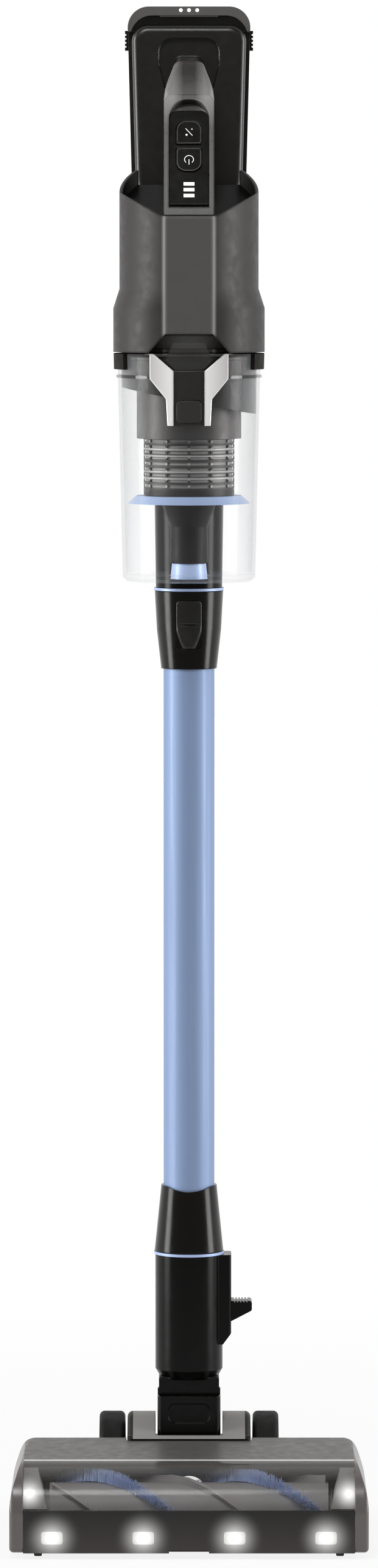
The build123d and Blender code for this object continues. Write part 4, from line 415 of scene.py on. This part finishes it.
def handle_with_painted_highlight():
    """Handle whose dome has a painted highlight at its sides, leaving it dark in the middle, on a black dock."""
    made = plastic("handle_frame", srgb(70, 68, 65), 0.3, grain=0.03, edge=1.5)
    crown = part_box("control_panel")[1].z
    # Painted highlight: the dome's sides are lighter, fading out towards the bottom
    dome = made.span(made.axis("Z"), DOME_HIGHLIGHT_LEAST, 1.0, crown + DOME_HIGHLIGHT_RISE[0], crown + DOME_HIGHLIGHT_RISE[1])
    bright = made.math("MULTIPLY", made.span(made.aside(), 0.0, 1.0, *DOME_HIGHLIGHT_SIDE), dome)
    grip = made.blend(bright, drifting(made, srgb(50, 48, 46)), srgb(134, 132, 130))
    share = made.span(made.axis("Y"), 0.0, 1.0, DOCK_FACE - DOCK_FADE, DOCK_FACE)
    made.set(Base_Color=made.blend(share, grip, drifting(made, BLACK)))
    return made


def cover_with_painted_edge_light():
    """Head cover with a painted highlight along its front edge, over a lip darkened by painted shadow."""
    made = plastic("head_cover", GREY, 0.42, grain=0.0, metal=0.15, edge=0.6, shine=0.25)
    # Painted highlight: a bright band just behind the front edge
    share = made.span(made.axis("Y"), 0.0, 1.0, COVER_FRONT + COVER_HIGHLIGHT_BAND[0], COVER_FRONT + COVER_HIGHLIGHT_BAND[1])
    top = made.blend(share, srgb(206, 204, 202), drifting(made, srgb(84, 82, 80)))
    # Painted shadow: the lip under the bright band is dark
    lip = made.math("LESS_THAN", made.axis("Y"), COVER_FRONT + COVER_LIP_SHADOW)
    made.set(Base_Color=made.blend(lip, top, DARK_EDGE))
    return made


def yoke_dark_at_sides_and_foot():
    """Yoke with black outer sides and a black foot to its tray."""
    made = plastic("neck_yoke", GREY, 0.42, grain=0.04, metal=0.2, edge=0.8, shine=0.25)
    outer = made.math("GREATER_THAN", made.aside(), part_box("neck_yoke")[1].x - EAR_DARK_WIDTH)
    foot = made.math("LESS_THAN", made.axis("Z"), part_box("head_cover")[1].z + TRAY_FOOT)
    dark = made.math("MAXIMUM", outer, foot)
    made.set(Base_Color=made.blend(dark, drifting(made, srgb(136, 134, 132), 0.05), srgb(16, 15, 13)))
    return made


def ramped_shroud():
    """Shroud whose outer ramp is darker than its wall."""
    made = plastic("shroud", GREY, 0.42, metal=0.2, shine=0.3)
    far = far_from(made, made.axis("X"), made.math("SUBTRACT", made.axis("Y"), CUP_Y))
    share = made.span(far, 0.0, 1.0, SHROUD_R, SHROUD_R + SHROUD_FADE)
    made.set(Base_Color=made.blend(share, drifting(made, GREY), srgb(34, 32, 31)))
    return made


def clear_cup():
    """Clear cup with a darker bead and a painted shadow along its top rim, a dark line under the housing."""
    made = clear("dust_cup", CLEAR, *CUP_ALPHA, CUP_ROUGH)
    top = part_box("dust_cup")[1].z
    off = made.math("ABSOLUTE", made.math("SUBTRACT", made.axis("Z"), top - BEAD_DROP))
    bead = made.math("LESS_THAN", off, BEAD_HALF)
    # Painted shadow: the top rim is dark, opaque and rough, standing in for the shaded gap under the housing
    rim = made.math("GREATER_THAN", made.axis("Z"), top - CUP_RIM_SHADOW)
    marked = made.math("MAXIMUM", bead, rim)
    dense = made.math("ADD", made.math("MULTIPLY", bead, BEAD_ALPHA), rim)
    made.set(
        Base_Color=made.blend(marked, drifting(made, CLEAR, 0.03), srgb(44, 42, 41)),
        Alpha=made.math("MAXIMUM", facing_alpha(made, *CUP_ALPHA), dense),
        Roughness=made.span(rim, CUP_ROUGH, CUP_RIM_ROUGH),
    )
    return made


def latch_with_painted_highlight():
    """Shiny latch with a painted highlight, brightest along its inner edges."""
    made = plastic("latch_frame", srgb(214, 212, 211), 0.22, metal=0.2, grain=0.02, edge=1.6)
    # Painted highlight: lighter towards the inner edges, darker outward
    share = made.span(made.aside(), 1.0, 0.0, *LATCH_HIGHLIGHT_FADE)
    made.set(Base_Color=made.blend(share, srgb(186, 184, 183), srgb(248, 247, 246)))
    return made


SPECIAL = {
    "lamp_bar": haloed_bar(),
    "lamp_lenses": glowing_lenses(),
    "mesh_screen": screen_steel(),
    "main_housing": housing_with_painted_highlights(),
    "shroud": ramped_shroud(),
    "dust_cup": clear_cup(),
    "side_clips": plastic("side_clips", srgb(20, 18, 16), 0.6, grain=0.2, shine=0.1),
    "latch_insert": plastic("latch_insert", srgb(42, 40, 37), 0.3, grain=0.03, edge=0.6, shine=0.3),
    "cup_button": plastic("cup_button", srgb(50, 48, 45), 0.3, grain=0.03, edge=0.9, shine=0.3),
    "latch_frame": latch_with_painted_highlight(),
    "battery_case": banded_battery(),
    "handle_frame": handle_with_painted_highlight(),
    "head_cover": cover_with_painted_edge_light(),
    "neck_yoke": yoke_dark_at_sides_and_foot(),
    "cone": plastic("cone", srgb(30, 28, 27), 0.5, grain=0.03, edge=0.8, shine=0.15),
    "wand_button": plastic("wand_button", srgb(24, 22, 20), 0.3, grain=0.02, edge=1.2, shine=0.5),
}


def dress(node, material):
    for slot in NODES[node].material_slots:
        slot.link = "OBJECT"
        slot.material = material


for part in frame["record"]["subparts"]:
    chosen = SPECIAL.get(part["node"]) or MATERIALS[part["material_slot"]]
    dress(part["node"], chosen.material)


# Meshes


def new_piece(name, build, body, slot, smooth=True):
    """A mesh piece made by a function that fills a bmesh."""
    mesh = bpy.data.meshes.new(name)
    work = bmesh.new()
    build(work)
    bmesh.ops.recalc_face_normals(work, faces=work.faces)
    work.to_mesh(mesh)
    work.free()
    for face in mesh.polygons:
        face.use_smooth = smooth
    mesh.materials.append(MATERIALS[slot].material)
    piece = bpy.data.objects.new(name, mesh)
    bpy.context.scene.collection.objects.link(piece)
    if body:
        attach(piece, body)
    return piece


def rings_to_tube(work, rings, closed=False):
    """Joins rings of points with quads; a closed tube meets its own start."""
    made = [[work.verts.new(point) for point in ring] for ring in rings]
    pairs = list(zip(made, made[1:]))
    if closed:
        pairs.append((made[-1], made[0]))
    for first, second in pairs:
        for i in range(len(first)):
            j = (i + 1) % len(first)
            work.faces.new((first[i], first[j], second[j], second[i]))
    if not closed:
        work.faces.new(made[0])
        work.faces.new(made[-1])


def turned(work, outline, y, sides):
    """A closed outline of (radius, z) points, turned about a vertical axis in the middle plane."""
    rings = []
    for i in range(sides):
        angle = 2 * math.pi * i / sides
        rings.append([(r * math.cos(angle), y + r * math.sin(angle), z) for r, z in outline])
    rings_to_tube(work, rings, closed=True)


def ripple(i, steps):
    """A wave from 0 to 1 and back in so many steps."""
    return 0.5 - 0.5 * math.cos(2 * math.pi * i / steps)


# Brush tufts

BRISTLE_TIP = 28.5 * MM
BRISTLE_ROOT = 19.2 * MM
BRISTLE_PHASE = math.radians(-71.0)
BRISTLE_HALF = 94.0 * MM
BRISTLE_PITCH = 208.0 * MM
BRISTLE_STARTS = 2
BRISTLE_COUNT = 2600
BRISTLE_WIDTH = 5.6 * MM
STRAND_R = 0.22 * MM
STRAND_SIDES = 3
TIP_LEAN = 0.03
TIP_DRIFT = 0.5 * MM
TIP_WEAR = 0.8 * MM
TIP_TAPER = 0.7
TUFT_SEED = 11


def brush_tufts(work):
    """Dense nylon tufts wound in two helices."""
    draw = random.Random(TUFT_SEED)
    for start in range(BRISTLE_STARTS):
        for _ in range(BRISTLE_COUNT):
            x = draw.uniform(-BRISTLE_HALF, BRISTLE_HALF)
            side = draw.uniform(-0.5, 0.5) * BRISTLE_WIDTH
            angle = BRISTLE_PHASE + 2 * math.pi * (x / BRISTLE_PITCH + start / BRISTLE_STARTS)
            angle += side / BRISTLE_ROOT
            lean = draw.gauss(0, TIP_LEAN)
            drift = draw.gauss(0, TIP_DRIFT)
            tip = BRISTLE_TIP - draw.uniform(0, TIP_WEAR)
            rings = []
            for radius, turn, shift, thick in (
                (BRISTLE_ROOT, angle, 0.0, STRAND_R),
                (tip, angle + lean, drift, STRAND_R * TIP_TAPER),
            ):
                out = Vector((0, -math.sin(turn), math.cos(turn)))
                across = Vector((0, math.cos(turn), math.sin(turn)))
                foot = Vector((x + shift, BRUSH_AXIS.y, BRUSH_AXIS.z)) + out * radius
                ring = []
                for k in range(STRAND_SIDES):
                    spin = 2 * math.pi * k / STRAND_SIDES
                    along = Vector((math.cos(spin), 0, 0))
                    ring.append(foot + (along + across * math.sin(spin)) * thick)
                rings.append(ring)
            rings_to_tube(work, rings)


tufts = new_piece("brush_tufts", brush_tufts, "brush", "bristle_blue", smooth=False)
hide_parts("brush_bristles")


# Neck hose

HOSE_RIBS = 17
HOSE_STEPS = 8
HOSE_DEPTH = 1.4 * MM
HOSE_WALL = 2.5 * MM
HOSE_FULLNESS = 0.7
HOSE_INNER_SHARE = 0.6
HOSE_SIDES = 40


def neck_hose(work):
    """Hose with round ribs outside and shallower ones inside."""
    low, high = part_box("neck_hose")
    outer = (high.x - low.x) / 2
    valley = outer - HOSE_DEPTH
    bore = outer - HOSE_WALL
    step = (high.z - low.z) / HOSE_RIBS
    rise = outer - valley
    waves = []
    for i in range(HOSE_RIBS * HOSE_STEPS + 1):
        waves.append((ripple(i, HOSE_STEPS), low.z + step * i / HOSE_STEPS))
    outline = [(valley + rise * wave**HOSE_FULLNESS, z) for wave, z in waves]
    outline += [(bore + rise * HOSE_INNER_SHARE * wave, z) for wave, z in reversed(waves)]
    turned(work, outline, WAND_Y, HOSE_SIDES)


hose = new_piece("ribbed_hose", neck_hose, None, "hose_black")
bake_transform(hose)
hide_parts("neck_hose")


# Fine cloth behind the openings of the screen

CLOTH_R = 30.7 * MM
CLOTH_WAVE = 0.35 * MM
CLOTH_PITCH = 1.3 * MM
CLOTH_STEPS = 4
CLOTH_END = 1.5 * MM
CLOTH_SIDES = 96


def screen_cloth(work):
    """Thin wall in fine level pleats."""
    low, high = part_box("mesh_screen")
    pleats = int((high.z - low.z - 2 * CLOTH_END) / CLOTH_PITCH)
    outline = []
    for i in range(pleats * CLOTH_STEPS + 1):
        z = low.z + CLOTH_END + CLOTH_PITCH * i / CLOTH_STEPS
        outline.append((CLOTH_R - CLOTH_WAVE * ripple(i, CLOTH_STEPS), z))
    inner = CLOTH_R - 2 * CLOTH_WAVE
    outline += [(inner, outline[-1][1]), (inner, outline[0][1])]
    turned(work, outline, CUP_Y, CLOTH_SIDES)


cloth = new_piece("screen_cloth", screen_cloth, "cup", "steel")
cloth.data.materials[0] = MATERIALS["mesh_cloth"].material


# Outlines and symbols on the two buttons

BUTTON_THICK = 1.8 * MM
SYMBOL_LIFT = 0.06 * MM
OUTLINE_INSET = 0.7 * MM
OUTLINE_WIDTH = 0.5 * MM
ROUND_END = 6.2 * MM
SQUARE_END = 1.6 * MM
CORNER_STEPS = 8
POWER_R = 3.1 * MM
POWER_GAP = math.radians(42)
POWER_STEPS = 28
POWER_WIDTH = 0.5 * MM
POWER_BAR = ((0, -4.0 * MM), (0, 0.2 * MM))
MODE_WIDTH = 0.45 * MM
MODE_BAR = ((-2.4 * MM, 3.0 * MM), (2.4 * MM, -2.6 * MM))
MODE_DOTS = (((-1.7 * MM, -2.0 * MM), 0.75 * MM), ((2.0 * MM, 2.5 * MM), 0.45 * MM))
DOT_STEPS = 10
DOT_TIP = 0.02 * MM


def on_button(key):
    """A matrix that puts a flat drawing on a button's face, with its Y up the slope."""
    inward = Vector(JOINTS[f"{key}_press"]["axis"])
    up = Vector((1, 0, 0)).cross(inward)
    if up.z < 0:
        up = -up
    place = middle(f"{key}_button") - inward * (BUTTON_THICK / 2)
    turn = Matrix((Vector((1, 0, 0)), up, -inward)).transposed().to_4x4()
    return Matrix.Translation(place) @ turn


def ribbon_ring(first, second, matrix):
    """Cross-section of a low ribbon between two points of a drawing."""
    corners = [(*first, -SYMBOL_LIFT), (*first, SYMBOL_LIFT), (*second, SYMBOL_LIFT), (*second, -SYMBOL_LIFT)]
    return [matrix @ Vector(corner) for corner in corners]


def stroke(work, points, width, matrix):
    """A flat ribbon along some points."""
    rings = []
    for i, point in enumerate(points):
        before = Vector(points[max(i - 1, 0)])
        after = Vector(points[min(i + 1, len(points) - 1)])
        along = (after - before).normalized()
        side = Vector((-along.y, along.x)) * (width / 2)
        rings.append(ribbon_ring(Vector(point) + side, Vector(point) - side, matrix))
    rings_to_tube(work, rings)


def dot(work, place, radius, matrix):
    """A small round mark, drawn as a short ribbon of changing width."""
    rings = []
    for i in range(DOT_STEPS + 1):
        x = place[0] + radius * math.cos(math.pi * i / DOT_STEPS)
        half = max(radius * math.sin(math.pi * i / DOT_STEPS), DOT_TIP)
        rings.append(ribbon_ring((x, place[1] - half), (x, place[1] + half), matrix))
    rings_to_tube(work, rings)


def button_outline(work, key, low_round, high_round):
    """A thin line round a button's face, inside its edge."""
    matrix = on_button(key)
    low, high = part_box(f"{key}_button")
    half_x = (high.x - low.x) / 2 - OUTLINE_INSET
    up = matrix.col[1].xyz
    reach = (high.z - low.z) * up.z + (high.y - low.y) * abs(up.y)
    half_y = reach / 2 - BUTTON_THICK * up.z * abs(up.y) - OUTLINE_INSET
    points = []
    corners = ((1, 1, high_round), (-1, 1, high_round), (-1, -1, low_round), (1, -1, low_round))
    for turn, (sx, sy, radius) in enumerate(corners):
        for i in range(CORNER_STEPS + 1):
            angle = math.pi / 2 * (turn + i / CORNER_STEPS)
            x = sx * (half_x - radius) + radius * math.cos(angle)
            y = sy * (half_y - radius) + radius * math.sin(angle)
            points.append((x, y))
    seam = ((points[-1][0] + points[0][0]) / 2, (points[-1][1] + points[0][1]) / 2)
    stroke(work, [seam, *points, seam], OUTLINE_WIDTH, matrix)


def power_outline(work):
    button_outline(work, "power", ROUND_END, SQUARE_END)


def mode_outline(work):
    button_outline(work, "mode", SQUARE_END, ROUND_END)


def power_symbol(work):
    """An open ring with a bar in its gap."""
    matrix = on_button("power")
    arc = []
    for i in range(POWER_STEPS + 1):
        angle = -math.pi / 2 + POWER_GAP + (2 * math.pi - 2 * POWER_GAP) * i / POWER_STEPS
        arc.append((POWER_R * math.cos(angle), POWER_R * math.sin(angle)))
    stroke(work, arc, POWER_WIDTH, matrix)
    stroke(work, POWER_BAR, POWER_WIDTH, matrix)


def mode_symbol(work):
    """A slanted stroke between two marks."""
    matrix = on_button("mode")
    stroke(work, MODE_BAR, MODE_WIDTH, matrix)
    for place, radius in MODE_DOTS:
        dot(work, place, radius, matrix)


new_piece("power_outline", power_outline, "power_key", "cheek_grey", smooth=False)
new_piece("mode_outline", mode_outline, "mode_key", "cheek_grey", smooth=False)
new_piece("power_symbol", power_symbol, "power_key", "lamp_white", smooth=False)
new_piece("mode_symbol", mode_symbol, "mode_key", "lamp_white", smooth=False)


# Camera

PHOTO_HEIGHT = 2576
CAMERA_AWAY = 5.6
CAMERA_Z = 0.9561
CAMERA_PITCH = 4.309
CAMERA_REACH = 60.0
FOCAL_PIXELS = 12945.6
SENSOR = 36.0

camera_data = bpy.data.cameras.new("camera")
camera_data.sensor_fit = "VERTICAL"
camera_data.sensor_height = SENSOR
camera_data.lens = FOCAL_PIXELS / PHOTO_HEIGHT * SENSOR
camera_data.clip_end = CAMERA_REACH
camera = bpy.data.objects.new("camera", camera_data)
camera.location = (0.0, WAND_Y - CAMERA_AWAY, CAMERA_Z)
camera.rotation_euler = (math.radians(90 - CAMERA_PITCH), 0, 0)
bpy.context.scene.collection.objects.link(camera)
bpy.context.scene.camera = camera


# Lamps, world and floor

# Name, place, aim, size and power of each lamp
LAMPS = (
    ("left_box", (-2.2, -0.35, 0.9), (0, 0, 0.6), (0.8, 2.0), 54.0),
    ("right_box", (2.2, -0.35, 0.9), (0, 0, 0.6), (0.8, 2.0), 48.0),
    ("front_top", (-0.5, -2.4, 2.9), (0, 0, 0.5), (1.2, 0.8), 44.0),
)
WORLD_LEVEL = 0.24
FLOOR_RADIUS = 1.2
FLOOR_SIDES = 96
FLOOR_DROP = 0.5 * MM
FLOOR_COLOUR = (0.82, 0.82, 0.82, 1)
FLOOR_FADE = (0.25 * FLOOR_RADIUS, 0.95 * FLOOR_RADIUS)
FLOOR_WHITE = 0.85
PLAIN_WHITE = (1, 1, 1, 1)


def area_light(name, place, aim, size, power):
    data = bpy.data.lights.new(name, "AREA")
    data.shape = "RECTANGLE"
    data.size, data.size_y = size
    data.energy = power
    lamp = bpy.data.objects.new(name, data)
    lamp.location = place
    lamp.rotation_euler = (Vector(aim) - Vector(place)).to_track_quat("-Z", "Y").to_euler()
    bpy.context.scene.collection.objects.link(lamp)


for lamp_values in LAMPS:
    area_light(*lamp_values)


def camera_white(tree, shader, share=1.0):
    """Mixes plain white into a shader for what the camera sees, and for the backdrop in gloss and glass."""
    in_world = shader.node.type == "BACKGROUND"
    white = tree.nodes.new("ShaderNodeBackground" if in_world else "ShaderNodeEmission")
    white.inputs["Color"].default_value = PLAIN_WHITE
    white.inputs["Strength"].default_value = 1.0
    path = tree.nodes.new("ShaderNodeLightPath")
    seen = math_node(tree, "MAXIMUM", path.outputs["Is Camera Ray"], path.outputs["Is Transmission Ray"])
    mirrored = path.outputs["Is Glossy Ray"]
    if in_world:
        # The backdrop stands behind the object; the studio before it is dim
        way = tree.nodes.new("ShaderNodeSeparateXYZ")
        tree.links.new(tree.nodes.new("ShaderNodeTexCoord").outputs["Generated"], way.inputs[0])
        behind = math_node(tree, "GREATER_THAN", way.outputs["Y"], 0.0)
        mirrored = math_node(tree, "MULTIPLY", mirrored, behind)
    seen = math_node(tree, "MAXIMUM", seen, mirrored)
    mix = tree.nodes.new("ShaderNodeMixShader")
    tree.links.new(math_node(tree, "MULTIPLY", seen, share), mix.inputs[0])
    tree.links.new(shader, mix.inputs[1])
    tree.links.new(white.outputs[0], mix.inputs[2])
    return mix.outputs[0]


def make_world():
    """Even dim light, white where the camera looks at it."""
    world = bpy.data.worlds.new("studio")
    bpy.context.scene.world = world
    world.use_nodes = True
    tree = world.node_tree
    back = tree.nodes["Background"]
    back.inputs["Color"].default_value = PLAIN_WHITE
    back.inputs["Strength"].default_value = WORLD_LEVEL
    tree.links.new(camera_white(tree, back.outputs[0]), tree.nodes["World Output"].inputs["Surface"])


def make_floor():
    """A pale round floor that fades into the backdrop."""
    mesh = bpy.data.meshes.new("floor")
    work = bmesh.new()
    bmesh.ops.create_circle(work, cap_ends=True, radius=FLOOR_RADIUS, segments=FLOOR_SIDES)
    work.to_mesh(mesh)
    work.free()
    floor = bpy.data.objects.new("floor", mesh)
    floor.location.z = -FLOOR_DROP
    bpy.context.scene.collection.objects.link(floor)
    pale = Shader("floor")
    length = pale.node("ShaderNodeVectorMath", Vector=pale.coords)
    length.operation = "LENGTH"
    pale.set(
        Base_Color=drifting(pale, FLOOR_COLOUR, 0.01),
        Roughness=0.8,
        Alpha=pale.span(length.outputs["Value"], 1.0, 0.0, *FLOOR_FADE),
    )
    output = pale.tree.nodes["Material Output"].inputs["Surface"]
    pale.tree.links.new(camera_white(pale.tree, pale.bsdf.outputs[0], FLOOR_WHITE), output)
    mesh.materials.append(pale.material)


make_world()
make_floor()

bpy.context.scene.view_settings.view_transform = "Standard"
